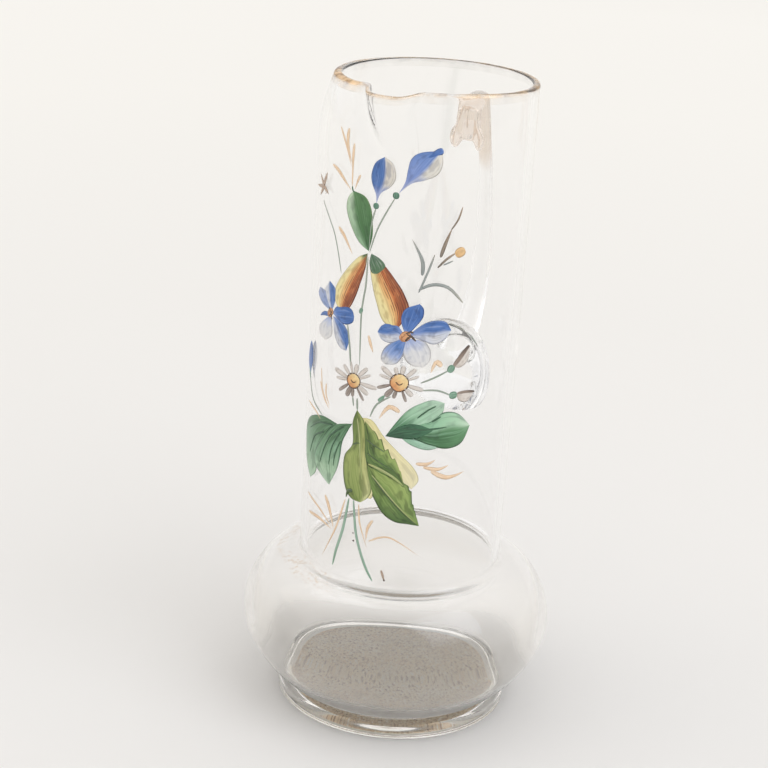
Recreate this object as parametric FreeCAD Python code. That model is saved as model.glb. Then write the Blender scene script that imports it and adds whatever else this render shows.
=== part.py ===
import FreeCAD, Part
import math
import os

# Glass jug with a bulb, a tall neck, a pinched spout, an applied handle and enamelled flowers.
# Lengths are in millimetres. The origin is on the axis under the foot, +Z is up,
# the spout faces -Y and the handle +Y.

# Blown body
jug_height = 250.0
neck_radius = 40.0
bulb_radius = 61.3
glass_wall = 2.8
floor_thickness = 3.5
join_tolerance = 0.001
shoulder_height = 60.0
crease_radius = 2.5
bulb_joint_radius = 37.0
# Outline of the bulb from its shoulder down, as shares of its swell beyond the neck and of its height
BULB_SHARES = ((0.36, 0.965), (0.80, 0.82), (1.0, 0.56), (0.93, 0.41), (0.65, 0.26), (0.30, 0.12))

# Spout and rim: a hand-finished mouth that is narrower than the neck, off its axis and out of level
spout_depth = 17.0
spout_reach = 4.5
spout_half_angle = 14.0
spout_root_share = 0.4
pinch_depth = 2.6
pinch_half_angle = 5.0
far_pinch_share = 0.35
rim_narrowing = 1.8
rim_shift = 1.9
rim_drop = 2.0
rim_lean_angle = 22.0
rim_rounding = 1.1
# Directions of the points that draw a level outline of the mouth, closer together about the spout,
# and how many of them each arc of the outline spans
near_angle = 30.0
near_step = 4.0
far_step = 15.0
arc_points = 5
WALL_SHARES = (0.0, 0.33, 0.66, 1.0)
BORE_SHARES = (-0.1, 0.0, 0.33, 0.66, 1.0, 1.1)
# Lip: shares of its climb and of the rounding that draws it in
LIP_SHARES = ((0.0, 0.0), (0.6, 0.25), (1.0, 1.0))
LIP_BORE_SHARES = ((-0.5, 0.0), (0.0, 0.0), (0.6, 0.25), (1.0, 1.0), (1.3, 1.75))

# Foot, and the speckled disc that fills the recess in its underside
foot_radius = 45.8
foot_height = 5.0
foot_top_rounding = 2.0
foot_edge_rounding = 0.8
recess_radius = 42.0
recess_depth = 2.0
disc_clearance = 0.3

# Handle: a strap drawn from a round pad up and out, and pressed to the neck again near the rim
handle_reach = 30.0
handle_pad_height = 127.0
handle_top_height = 236.0
pad_radius = 18.5
pad_bulge = 6.5
pad_sink = 4.5
root_height = 227.0
root_half_width = 7.6
root_half_height = 10.5
root_bulge = 4.5
# Middle line of the strap: shares of the reach and of the height, then of the strap's width and thickness
strap_width = 12.0
strap_thickness = 7.0
oval_points = 12
STRAP_SHARES = (
    (-0.05, 0.02, 1.25, 1.3),
    (0.32, 0.055, 1.1, 1.1),
    (0.66, 0.14, 1.0, 0.95),
    (0.91, 0.25, 0.92, 0.85),
    (1.0, 0.40, 0.82, 0.78),
    (0.95, 0.57, 0.68, 0.74),
    (0.76, 0.76, 0.58, 0.74),
    (0.52, 0.925, 0.62, 0.78),
    (0.28, 0.985, 0.78, 0.86),
    (-0.08, 0.95, 0.95, 0.95),
)

# Gilding on the rim
gilt_thickness = 0.25
gilt_band_height = 2.2

# Enamel spray on the neck. Its places are shares of the spray's width, to the right of the spout's line,
# and of its height, up from its foot.
enamel_thickness = 0.4
smallest_patch_side = 0.9
spray_width = 84.0
spray_foot = 63.0
spray_height = 171.0
stem_width = 0.9
grass_width = 1.5
sprig_width = 1.2
daisy_radius = 8.6
daisy_petal_width = 2.6
daisy_core_radius = 3.4
daisy_petal_count = 13
blossom_radius = 2.4
knot_radius = 1.1

# Poles of a blade's two sides: shares of its length and of its half width
LEAF_SHARES = ((0.28, 1.25), (0.74, 1.15))
PETAL_SHARES = ((0.2, 0.75), (1.0, 1.5))
ROUND_SHARES = ((0.0, 1.33), (1.0, 1.33))
SLIM_SHARES = ((0.3, 1.3), (0.7, 1.3))
# How far from the axis the two faces of an enamel patch's wedge stand, as shares of the neck's radius
WEDGE_SHARES = (0.45, 1.1)

# Blades of each motif, from the motif on top to the lowest: form, places along the middle line,
# and the half widths to the left and to the right of it as shares of its length
BLADE_SHARES = {
    "bud_left": (
        (PETAL_SHARES, ((-0.007, 0.868), (0.007, 0.959)), 0.28, 0.28),
        (SLIM_SHARES, ((-0.017, 0.861), (0.000, 0.901)), 0.13, 0.13),
        (ROUND_SHARES, ((-0.023, 0.847), (-0.018, 0.861)), 0.49, 0.49),
    ),
    "bud_right": (
        (PETAL_SHARES, ((0.107, 0.902), (0.233, 0.978)), 0.29, 0.29),
        (SLIM_SHARES, ((0.079, 0.889), (0.131, 0.921)), 0.14, 0.14),
        (ROUND_SHARES, ((0.067, 0.877), (0.076, 0.891)), 0.49, 0.49),
    ),
    "upper_leaf": (
        (LEAF_SHARES, ((-0.040, 0.757), (-0.125, 0.875)), 0.31, 0.20),
    ),
    "sheath_left": (
        (LEAF_SHARES, ((-0.050, 0.747), (-0.150, 0.611)), 0.13, 0.24),
    ),
    "sheath_right": (
        (LEAF_SHARES, ((-0.024, 0.747), (0.095, 0.609)), 0.23, 0.15),
    ),
    "flower_left": (
        (PETAL_SHARES, ((-0.242, 0.595), (-0.254, 0.663)), 0.26, 0.26),
        (PETAL_SHARES, ((-0.242, 0.595), (-0.373, 0.629)), 0.23, 0.23),
        (PETAL_SHARES, ((-0.242, 0.595), (-0.100, 0.610)), 0.31, 0.31),
        (PETAL_SHARES, ((-0.242, 0.595), (-0.131, 0.527)), 0.20, 0.20),
        (PETAL_SHARES, ((-0.242, 0.595), (-0.313, 0.524)), 0.25, 0.25),
    ),
    "flower_right": (
        (PETAL_SHARES, ((0.154, 0.581), (0.169, 0.654)), 0.33, 0.33),
        (PETAL_SHARES, ((0.154, 0.581), (0.331, 0.600)), 0.26, 0.26),
        (PETAL_SHARES, ((0.154, 0.581), (0.031, 0.588)), 0.33, 0.33),
        (PETAL_SHARES, ((0.154, 0.581), (0.044, 0.520)), 0.28, 0.28),
        (PETAL_SHARES, ((0.154, 0.581), (0.236, 0.516)), 0.34, 0.34),
    ),
    "side_petal": (
        (LEAF_SHARES, ((-0.473, 0.418), (-0.479, 0.500)), 0.20, 0.20),
    ),
    "side_flower": (
        (SLIM_SHARES, ((-0.352, 0.865), (-0.420, 0.880)), 0.15, 0.15),
        (SLIM_SHARES, ((-0.352, 0.865), (-0.305, 0.846)), 0.17, 0.17),
        (SLIM_SHARES, ((-0.352, 0.865), (-0.388, 0.834)), 0.15, 0.15),
        (SLIM_SHARES, ((-0.352, 0.865), (-0.324, 0.892)), 0.17, 0.17),
        (SLIM_SHARES, ((-0.352, 0.865), (-0.376, 0.896)), 0.16, 0.16),
    ),
    "daisy_bud_upper": (
        (LEAF_SHARES, ((0.360, 0.512), (0.450, 0.559)), 0.21, 0.21),
        (ROUND_SHARES, ((0.340, 0.504), (0.368, 0.517)), 0.50, 0.50),
    ),
    "daisy_bud_lower": (
        (LEAF_SHARES, ((0.379, 0.451), (0.488, 0.447)), 0.24, 0.24),
        (ROUND_SHARES, ((0.354, 0.452), (0.392, 0.450)), 0.50, 0.50),
    ),
    "leaf_left": (
        (LEAF_SHARES, ((-0.077, 0.364), (-0.179, 0.304), (-0.226, 0.263), (-0.256, 0.198)), 0.17, 0.14),
        (LEAF_SHARES, ((-0.149, 0.359), (-0.310, 0.327), (-0.369, 0.275), (-0.432, 0.202)), 0.16, 0.15),
    ),
    "leaf_right": (
        (LEAF_SHARES, ((0.089, 0.351), (0.262, 0.363), (0.357, 0.368), (0.474, 0.370)), 0.17, 0.19),
        (LEAF_SHARES, ((0.125, 0.357), (0.190, 0.392), (0.262, 0.412), (0.364, 0.432)), 0.19, 0.19),
    ),
    "leaf_centre_left": (
        (LEAF_SHARES, ((-0.052, 0.398), (-0.031, 0.322), (-0.024, 0.251), (-0.043, 0.191)), 0.20, 0.19),
    ),
    "leaf_centre_right": (
        (LEAF_SHARES, ((0.006, 0.357), (0.060, 0.275), (0.107, 0.222), (0.260, 0.147)), 0.18, 0.17),
    ),
    "leaf_centre_yellow": (
        (LEAF_SHARES, ((-0.006, 0.371), (0.119, 0.322), (0.202, 0.269), (0.244, 0.215)), 0.15, 0.15),
    ),
}
# Middle lines of the thin strokes
STEM_SHARES = (
    ((-0.020, 0.848), (-0.030, 0.801), (-0.038, 0.754)),
    ((0.069, 0.877), (0.018, 0.818), (-0.032, 0.757)),
    ((-0.026, 0.746), (-0.042, 0.649), (-0.060, 0.557), (-0.068, 0.503)),
    ((-0.131, 0.602), (-0.105, 0.544), (-0.107, 0.503)),
    ((-0.062, 0.421), (-0.056, 0.395)),
    ((0.125, 0.433), (0.065, 0.412), (0.015, 0.386)),
    ((0.226, 0.478), (0.286, 0.490), (0.345, 0.509)),
    ((0.226, 0.465), (0.298, 0.464), (0.363, 0.453)),
    ((-0.474, 0.418), (-0.393, 0.365), (-0.262, 0.356)),
    ((-0.345, 0.848), (-0.274, 0.760), (-0.195, 0.700), (-0.149, 0.626)),
    ((-0.070, 0.199), (-0.110, 0.104), (-0.146, 0.016)),
    ((-0.043, 0.199), (-0.017, 0.093), (0.036, 0.025), (0.069, 0.002)),
)
GRASS_SHARES = (
    ((-0.244, 0.996), (-0.202, 0.942), (-0.164, 0.895), (-0.146, 0.880)),
    ((-0.198, 0.980), (-0.195, 0.953), (-0.174, 0.918)),
    ((-0.285, 0.915), (-0.220, 0.895), (-0.160, 0.881)),
    ((-0.119, 0.933), (-0.133, 0.906), (-0.146, 0.880)),
    ((-0.215, 0.788), (-0.167, 0.770), (-0.126, 0.746)),
    ((-0.364, 0.149), (-0.262, 0.126), (-0.174, 0.094)),
    ((-0.217, 0.173), (-0.185, 0.140), (-0.167, 0.094)),
    ((-0.345, 0.102), (-0.262, 0.089), (-0.173, 0.094)),
    ((-0.113, 0.178), (-0.143, 0.099), (-0.220, 0.038)),
    ((-0.027, 0.178), (0.006, 0.123), (0.038, 0.070)),
    ((0.089, 0.149), (0.077, 0.123), (0.024, 0.088)),
    ((0.050, 0.075), (0.155, 0.108), (0.286, 0.073)),
    ((0.231, 0.292), (0.298, 0.306), (0.351, 0.296)),
    ((0.268, 0.275), (0.345, 0.289), (0.417, 0.277)),
    ((0.315, 0.264), (0.381, 0.244), (0.470, 0.266)),
    ((0.054, 0.390), (0.095, 0.421), (0.148, 0.414)),
    ((0.265, 0.502), (0.280, 0.523), (0.314, 0.522)),
    ((-0.262, 0.447), (-0.232, 0.398), (-0.196, 0.372)),
    ((-0.007, 0.570), (0.007, 0.550), (0.014, 0.523)),
)
SPRIG_SHARES = (
    ((0.148, 0.794), (0.198, 0.756), (0.200, 0.715)),
    ((0.248, 0.764), (0.219, 0.719), (0.187, 0.680)),
    ((0.189, 0.685), (0.271, 0.711), (0.326, 0.688), (0.388, 0.657)),
    ((0.276, 0.757), (0.302, 0.801), (0.313, 0.814), (0.349, 0.863)),
    ((0.264, 0.733), (0.305, 0.751), (0.351, 0.766)),
    ((0.281, 0.737), (0.310, 0.746), (0.338, 0.752)),
)
DAISY_SHARES = {"daisy_left": (-0.079, 0.461), "daisy_right": (0.132, 0.476)}
BLOSSOM_SHARES = (0.364, 0.770)
KNOT_SHARES = (-0.062, 0.614)

up_axis = FreeCAD.Vector(0, 0, 1)
origin = FreeCAD.Vector(0, 0, 0)


def at(x, y, z):
    return FreeCAD.Vector(x, y, z)


def upright_cylinder(radius, low, high):
    return Part.makeCylinder(radius, high - low, at(0, 0, low), up_axis)


def revolve_outline(edges):
    """Solid of one turn of a closed outline that lies in the XZ plane."""
    face = Part.Face(Part.Wire(Part.__sortEdges__(edges)))
    return face.revolve(origin, up_axis, 360)


def vessel_outline(neck, bulb, joint, low, shoulder, high):
    """Solid of the neck and the bulb, used for the outer skin and, with smaller sizes, for the inside."""
    crease_end = at(neck + crease_radius, 0, shoulder)
    bulb_points = [crease_end]
    for swell_share, height_share in BULB_SHARES:
        bulb_points.append(at(neck + (bulb - neck) * swell_share, 0, low + (shoulder - low) * height_share))
    bulb_points.append(at(joint, 0, low))
    curve = Part.BSplineCurve()
    curve.interpolate(bulb_points, InitialTangent=at(1, 0, 0), FinalTangent=at(-1, 0, -0.55))
    turn_share = 1 - math.sqrt(0.5)
    crease = Part.Arc(
        at(neck, 0, shoulder + crease_radius),
        at(neck + crease_radius * turn_share, 0, shoulder + crease_radius * turn_share),
        crease_end,
    )
    return revolve_outline([
        curve.toShape(),
        Part.makeLine(at(joint, 0, low), at(0, 0, low)),
        Part.makeLine(at(0, 0, low), at(0, 0, high)),
        Part.makeLine(at(0, 0, high), at(neck, 0, high)),
        Part.makeLine(at(neck, 0, high), at(neck, 0, shoulder + crease_radius)),
        crease.toShape(),
    ])


def bell(angle, middle, half_angle, power):
    """Smooth bump of height 1 about a middle angle."""
    return math.exp(-abs((angle - middle) / half_angle) ** power)


def mouth_angles():
    """Directions of a section's points, in degrees from the spout's line."""
    near_count = round(2 * near_angle / near_step)
    far_count = round((360 - 2 * near_angle) / far_step)
    near = [-near_angle + 2 * near_angle * index / near_count for index in range(near_count)]
    far = [near_angle + (360 - 2 * near_angle) * index / far_count for index in range(far_count)]
    return near + [angle if angle < 180 else angle - 360 for angle in far]


def mouth_section(radius, climb_share):
    """Outline of the neck at a share of the spout's depth above the spout's root."""
    growth = max(climb_share, 0)
    half_angle = spout_half_angle * (spout_root_share + (1 - spout_root_share) * growth)
    lean = math.radians(rim_lean_angle)
    slope = rim_drop / (2 * neck_radius) * growth ** 2
    middle_height = jug_height - spout_depth * (1 - climb_share) - rim_drop / 2 * growth ** 2
    points = []
    for angle in mouth_angles():
        near_pinch = bell(angle, -half_angle - pinch_half_angle, pinch_half_angle, 2)
        far_pinch = bell(angle, half_angle + pinch_half_angle, pinch_half_angle, 2)
        pinch = pinch_depth * (near_pinch + far_pinch_share * far_pinch)
        bulge = spout_reach * bell(angle, 0, half_angle, 4)
        reach = radius + (bulge - pinch) * growth ** 1.5 - rim_narrowing * growth ** 2
        turn = math.radians(angle)
        x = reach * math.sin(turn) + rim_shift * growth ** 2 * math.cos(lean)
        y = -reach * math.cos(turn) + rim_shift * growth ** 2 * math.sin(lean)
        points.append(at(x, y, middle_height - slope * (x * math.cos(lean) + y * math.sin(lean))))
    curve = Part.BSplineCurve()
    curve.interpolate(points, PeriodicFlag=True)
    knots = curve.getKnots()
    ends = knots[:-1:arc_points] + knots[-1:]
    return Part.Wire([curve.toShape(start, end) for start, end in zip(ends, ends[1:])])


def wall_loft(radius, shares):
    """Solid of the mouth's straight stretch, up to where its lip starts to round."""
    lip_start = 1 - rim_rounding / spout_depth
    return Part.makeLoft([mouth_section(radius, share * lip_start) for share in shares], True, False)


def lip_loft(radius, rounding, shares):
    """Solid of the lip, drawn in by the rounding, or out where that is negative."""
    lip_start = 1 - rim_rounding / spout_depth
    sections = []
    for climb, inset in shares:
        sections.append(mouth_section(radius - rounding * inset, lip_start + (1 - lip_start) * climb))
    return Part.makeLoft(sections, True, True)


def vessel(inset, floor_height):
    """Solid inside the plain part of the body's skin, or inside a skin set in by the wall."""
    return vessel_outline(
        neck_radius - inset, bulb_radius - inset, bulb_joint_radius - inset,
        foot_height + floor_height, shoulder_height - inset, jug_height - spout_depth)


def body():
    """Bulb and neck, then the mouth with its spout, then the lip: one blown piece."""
    bore_radius = neck_radius - glass_wall
    plain = vessel(0, 0).cut(vessel(glass_wall, floor_thickness))
    wall = wall_loft(neck_radius, WALL_SHARES).cut(wall_loft(bore_radius, BORE_SHARES))
    lip = lip_loft(neck_radius, rim_rounding, LIP_SHARES)
    lip = lip.cut(lip_loft(bore_radius, -rim_rounding, LIP_BORE_SHARES))
    return plain.multiFuse([wall, lip], join_tolerance)


def mouth_skin():
    """Solid inside the outer skin of the mouth, below the lip."""
    return wall_loft(neck_radius, WALL_SHARES)


def foot():
    """Flat disc under the bulb, hollowed a little underneath."""
    disc = upright_cylinder(foot_radius, 0, foot_height)
    top_edges = [edge for edge in disc.Edges if edge.BoundBox.ZMin > foot_height / 2]
    disc = disc.makeFillet(foot_top_rounding, top_edges)
    low_edges = [edge for edge in disc.Edges if edge.BoundBox.ZMax < foot_edge_rounding]
    disc = disc.makeFillet(foot_edge_rounding, low_edges)
    return disc.cut(upright_cylinder(recess_radius, -foot_height, recess_depth))


def speckled_disc():
    """Thin speckled disc that backs the glass of the foot and lies flush with its underside."""
    return upright_cylinder(recess_radius - disc_clearance, 0, recess_depth)


def strap_centre(reach_share, height_share):
    span = handle_top_height - handle_pad_height
    return at(0, neck_radius + handle_reach * reach_share, handle_pad_height + span * height_share)


def oval(centre, along, half_width, half_thickness):
    """Closed oval outline, square to a direction in the jug's middle plane."""
    across = at(1, 0, 0)
    aside = along.cross(across)
    points = []
    for index in range(oval_points):
        turn = 2 * math.pi * index / oval_points
        points.append(centre + across * half_width * math.cos(turn) + aside * half_thickness * math.sin(turn))
    curve = Part.BSplineCurve()
    curve.interpolate(points, PeriodicFlag=True)
    return Part.Wire(curve.toShape())


def strap():
    """Drawn glass strap: oval sections set square to its middle line."""
    centres = [strap_centre(row[0], row[1]) for row in STRAP_SHARES]
    path = Part.BSplineCurve()
    path.interpolate(centres)
    sections = []
    for centre, row in zip(centres, STRAP_SHARES):
        along = path.tangent(path.parameter(centre))[0]
        sections.append(oval(centre, along, strap_width * row[2] / 2, strap_thickness * row[3] / 2))
    return Part.makeLoft(sections, True, False)


def domed_blob(height, half_width, half_height, bulge, sink):
    """Flattened round lump of glass whose middle plane lies a little inside the neck's skin."""
    ball = Part.makeSphere(1)
    depth = bulge + sink
    stretch = FreeCAD.Matrix()
    stretch.scale(half_width, depth, half_height)
    lump = ball.transformGeometry(stretch)
    lump.translate(at(0, neck_radius - sink, height))
    return lump


def handle():
    """Strap with its lower pad and upper root, cut to the skin of the neck that they are fused to."""
    pad = domed_blob(handle_pad_height, pad_radius, pad_radius, pad_bulge, pad_sink)
    root = domed_blob(root_height, root_half_width, root_half_height, root_bulge, root_bulge)
    blank = strap().multiFuse([pad, root])
    return blank.cut(upright_cylinder(neck_radius, shoulder_height, jug_height - spout_depth)).cut(mouth_skin())


def rim_gilding():
    """Thin gilt band on the outside of the rim, under its rounding."""
    low_share = 1 - (rim_rounding + gilt_band_height) / spout_depth
    high_share = 1 - rim_rounding / spout_depth
    sections = [mouth_section(neck_radius + gilt_thickness, share) for share in (low_share, high_share)]
    return Part.makeLoft(sections, True, True).cut(mouth_skin())


def spray_place(across_share, up_share):
    """Place on the neck's skin laid flat: across from the spout's line, and up."""
    return spray_width * across_share, spray_foot + spray_height * up_share


def seen_from_axis(across, up):
    """The same place on the upright plane that touches the neck along the spout's line."""
    return at(neck_radius * math.tan(across / neck_radius), -neck_radius, up)


def along_line(places, share):
    """Place at a share of a broken line's length."""
    lengths = [math.dist(first, second) for first, second in zip(places, places[1:])]
    left = share * sum(lengths)
    for first, second, length in zip(places, places[1:], lengths):
        if left <= length or second is places[-1]:
            part = left / length
            return first[0] + (second[0] - first[0]) * part, first[1] + (second[1] - first[1]) * part
        left -= length


def blade(form, places, left, right):
    """Flat leaf-like face about a middle line, with its half widths to the left and to the right."""
    first = places[0]
    last = places[-1]
    length = math.dist(first, last)
    aside = (-(last[1] - first[1]) / length, (last[0] - first[0]) / length)
    edges = []
    for reach in (left, -right):
        poles = [seen_from_axis(*first)]
        for along_share, out_share in form:
            across, up = along_line(places, along_share)
            poles.append(seen_from_axis(across + aside[0] * reach * out_share, up + aside[1] * reach * out_share))
        curve = Part.BezierCurve()
        curve.setPoles(poles + [seen_from_axis(*last)])
        edges.append(curve.toShape())
    return Part.Face(Part.Wire(edges))


def dot(place, radius):
    across, up = place
    return blade(ROUND_SHARES, [(across, up - radius), (across, up + radius)], radius, radius)


def merged(faces):
    """Flat outline of several faces that overlap, found by fusing thin slabs of them."""
    slabs = [face.extrude(at(0, -enamel_thickness, 0)) for face in faces]
    joined = slabs[0].multiFuse(slabs[1:]).removeSplitter() if len(slabs) > 1 else slabs[0]
    flat = [face for face in joined.Faces if abs(face.CenterOfMass.y + neck_radius) < enamel_thickness / 4]
    return Part.makeCompound(flat)


def painted_blades(rows):
    faces = []
    for form, shares, left_share, right_share in rows:
        places = [spray_place(across, up) for across, up in shares]
        length = math.dist(places[0], places[-1])
        faces.append(blade(form, places, left_share * length, right_share * length))
    return merged(faces)


def daisy(place):
    """Round core with narrow petals about it."""
    faces = [dot(place, daisy_core_radius)]
    for index in range(daisy_petal_count):
        turn = 2 * math.pi * (index + 0.5) / daisy_petal_count
        across = math.sin(turn)
        up = math.cos(turn)
        start = (place[0] + daisy_core_radius * across / 2, place[1] + daisy_core_radius * up / 2)
        tip = (place[0] + daisy_radius * across, place[1] + daisy_radius * up)
        faces.append(blade(PETAL_SHARES, [start, tip], daisy_petal_width / 2, daisy_petal_width / 2))
    return merged(faces)


def strokes(rows, width):
    """Thin brush strokes, pointed at both ends."""
    faces = []
    for shares in rows:
        places = [spray_place(across, up) for across, up in shares]
        faces.append(blade(SLIM_SHARES, places, width / 2, width / 2))
    return faces


def wedge(wire):
    """Solid between two copies of a flat outline, drawn towards the neck's axis and away from it."""
    copies = []
    for share in WEDGE_SHARES:
        scaling = FreeCAD.Matrix()
        scaling.scale(share, share, 1)
        copies.append(Part.Wire(wire.transformGeometry(scaling).Edges))
    return Part.makeLoft(copies, True, True)


def raised_enamel(flat):
    """Thin patches on the neck's skin inside the flat outlines."""
    patches = []
    for face in flat.Faces:
        if face.Area < smallest_patch_side ** 2:
            continue
        patch = wedge(face.OuterWire)
        for wire in face.Wires:
            if not wire.isSame(face.OuterWire):
                patch = patch.cut(wedge(wire))
        low = face.BoundBox.ZMin - enamel_thickness
        high = face.BoundBox.ZMax + enamel_thickness
        skin = upright_cylinder(neck_radius + enamel_thickness, low, high)
        patches.append(patch.common(skin.cut(upright_cylinder(neck_radius, low, high))))
    return Part.makeCompound([solid for patch in patches for solid in patch.Solids])


def enamel_motifs():
    """All painted motifs by name, from the top one to the lowest, each cut clear of those over it."""
    outlines = {name: daisy(spray_place(*shares)) for name, shares in DAISY_SHARES.items()}
    outlines.update({name: painted_blades(rows) for name, rows in BLADE_SHARES.items()})
    blossom = dot(spray_place(*BLOSSOM_SHARES), blossom_radius)
    knot = dot(spray_place(*KNOT_SHARES), knot_radius)
    outlines["grey_sprig"] = merged(strokes(SPRIG_SHARES, sprig_width) + [blossom])
    outlines["stems"] = merged(strokes(STEM_SHARES, stem_width) + [knot])
    outlines["gilt_grasses"] = merged(strokes(GRASS_SHARES, grass_width))
    motifs = {}
    covered = []
    for name, outline in outlines.items():
        motifs[name] = raised_enamel(outline.cut(covered) if covered else outline)
        covered.append(outline)
    return motifs


def main():
    os.makedirs("parts", exist_ok=True)
    nodes = {
        "body": body(),
        "foot": foot(),
        "speckled_disc": speckled_disc(),
        "handle": handle(),
        "rim_gilding": rim_gilding(),
    }
    nodes.update(enamel_motifs())
    for name, shape in nodes.items():
        shape.exportStep("parts/" + name + ".step")
        print(name, len(shape.Solids), shape.isValid(), round(shape.Volume, 1), shape.BoundBox)


main()
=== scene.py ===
import bmesh
import bpy
import math
from functools import partial
from mathutils import Matrix, Vector
from mathutils.geometry import interpolate_bezier


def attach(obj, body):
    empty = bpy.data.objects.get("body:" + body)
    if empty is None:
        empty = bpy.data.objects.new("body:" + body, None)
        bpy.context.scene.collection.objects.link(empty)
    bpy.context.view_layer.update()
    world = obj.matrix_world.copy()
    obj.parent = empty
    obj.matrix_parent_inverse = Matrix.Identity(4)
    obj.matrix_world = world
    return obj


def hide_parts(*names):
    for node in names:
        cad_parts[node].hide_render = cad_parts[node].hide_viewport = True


# Glass jug with an enamelled flower spray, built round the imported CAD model.
# Lengths are in millimetres and angles in degrees, counted from the spout's side, unless a comment says
# otherwise. Every mesh is turned to metres when it is made.
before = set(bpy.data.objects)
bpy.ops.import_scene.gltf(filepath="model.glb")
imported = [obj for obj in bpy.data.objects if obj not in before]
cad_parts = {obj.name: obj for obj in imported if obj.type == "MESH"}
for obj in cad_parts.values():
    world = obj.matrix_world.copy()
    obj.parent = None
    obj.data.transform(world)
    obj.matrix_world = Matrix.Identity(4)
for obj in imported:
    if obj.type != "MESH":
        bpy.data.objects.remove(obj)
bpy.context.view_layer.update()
MM = 0.001

# Blown body: its main sizes are the CAD model's, its curves a little finer
jug_height = 249.78
neck_radius = 40.0
glass_wall = 2.8
bore_radius = neck_radius - glass_wall
bulb_radius = 61.3
bulb_floor = 5.0
inner_floor = 8.5
bulb_joint_radius = 39.5
inner_joint_radius = 40.5
shoulder_height = 60.0
crease_radius = 2.0
bulb_widest_share = 0.56

# Handles of the two curves that draw the bulb's side, and the slope it starts with at the foot
joint_handle = 12.0
joint_slope = 0.55
lower_swell_handle = 11.0
upper_swell_handle = 11.0
shoulder_handle = 9.0

# Spout and the pinches beside it: it turns aside and widens from its root to the rim
spout_depth = 24.0
spout_root_height = jug_height - spout_depth
spout_reach = 4.5
spout_dip = 1.6
spout_root_angle = 2.8
spout_turn = -8.0
spout_half_angle = 14.5
spout_root_share = 0.03
pinch_depth = 2.6
pinch_half_angle = 4.8
far_pinch_share = 0.35

# Rim: narrower than the neck, shifted to the right and back, dented beside the spout, with a rounded lip
rim_narrowing = 2.5
rim_shift = 2.4
rim_shift_turn = 22.0
rim_dent = 2.2
rim_dent_angle = 36.0
rim_dent_half_angle = 28.0
rim_rounding = 1.1
lip_start = 1 - rim_rounding / spout_depth

# Waves of the blown glass: a wide one and a tighter one that climb round it, none where the foot joins
wave_depth = 0.22
wide_wave_climb = 47.0
tight_wave_climb = 29.0
tight_wave_share = 0.6
tight_wave_start = 1.3
wave_low = 12.0
wave_fade = 20.0
inner_wave_turn = 40.0
inner_wave_share = 0.5

# How finely the turned shapes are divided
columns = 240
lower_bulb_points = 34
upper_bulb_points = 30
crease_steps = 8
neck_steps = 60
mouth_steps = 16
lip_steps = 5
floor_shares = (0.3, 0.6, 0.9, 0.99)
inner_floor_shares = (0.95, 0.6, 0.3)

# Wear of the glass: cloudy patches, a tint low in the bulb and a milky ring just above its floor
cloud_size = 22.0
cloud_roughness = 0.12
clean_roughness = 0.01
tint_depth = 18.0
veil_low = 8.8
veil_rise = 1.5
veil_high = 22.0
veil_fall = 7.0
veil_roughness = 0.35

# Foot: its top is sunk into the bulb's floor, and it stands on a narrow ring, with air under the rest of
# its underside
foot_radius = 45.8
foot_height = 5.0
foot_top_rounding = 2.0
foot_edge_rounding = 0.8
contact_inset = 1.2
foot_lift = 0.3
fused_height = 0.03
recess_height = 1.5

# Grit disc in the foot's recess, a little off the middle towards the spout
grit_radius = 39.6
grit_gap = 0.2
grit_shift = (0.7, -1.6)

# Cut corners of the foot and the grit; a second ring next to a corner keeps the flat face even
corner = 0.2
support = 3 * corner

# Handle: a strap with its pad, and a root with two toes, pressed against the neck as lumps
handle_reach = 30.0
handle_pad_height = 127.0
handle_top_height = 236.0
handle_turn = 2.7
handle_gap = 0.03
strap_width = 12.0
strap_thickness = 7.0
pad_bulge = 6.0
pad_depth = 17.0
pad_half_width = 22.5
pad_half_height = 25.3
root_height = 226.5
root_half_width = 6.4
root_half_height = 9.5
root_bulge = 3.4
root_depth = 7.0
toe_height = 219.5
toe_spread = 5.2
toe_half_width = 3.4
toe_half_height = 6.0
toe_bulge = 2.3
strap_steps = 90
strap_columns = 40
lump_columns = 96
lump_rings = 64
melt_voxel = 0.8
soften_rounds = 12
cutter_low = handle_pad_height - 30
cutter_high = jug_height + 10
# The strap from the pad to the root: shares of the reach and of the height, then of its width and thickness
STRAP_SHARES = (
    (-0.05, 0.02, 1.25, 1.3),
    (0.32, 0.055, 1.1, 1.1),
    (0.66, 0.14, 1.0, 0.95),
    (0.91, 0.25, 0.92, 0.85),
    (1.0, 0.40, 0.82, 0.78),
    (0.95, 0.57, 0.68, 0.74),
    (0.76, 0.76, 0.58, 0.74),
    (0.52, 0.925, 0.62, 0.78),
    (0.28, 0.985, 0.78, 0.86),
    (-0.08, 0.95, 0.95, 0.95),
)

# Gilding: a thin film over the rim, with less of it worn off on the left of the spout
gilt_lift = 0.02
gilt_film = 0.06
gilt_band_height = 2.2
gilt_band_steps = 3
gilt_thin_share = 0.3
gilt_thick_share = 0.8
gilt_thick_angle = -46.0
gilt_thick_half_angle = 22.0

# Enamel: a stroke is a lens of paint over the glass, divided into rows along it and lanes across it
enamel_gap = 0.03
enamel_height = 0.13
enamel_height_share = 0.3
layer_step = 0.03
enamel_roughness = 0.36
middle_steps = 16
edge_steps = 96
row_length = 0.7
toothed_row_length = 0.35
lane_width = 0.6
row_limits = (10, 56)
lane_limits = (4, 16)
petal_half_width = 0.95
outline_half_width = 0.24
# Each stroke takes its brush marks from a part of the noise of its own
noise_step = 3.7
noise_span = 17

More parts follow.
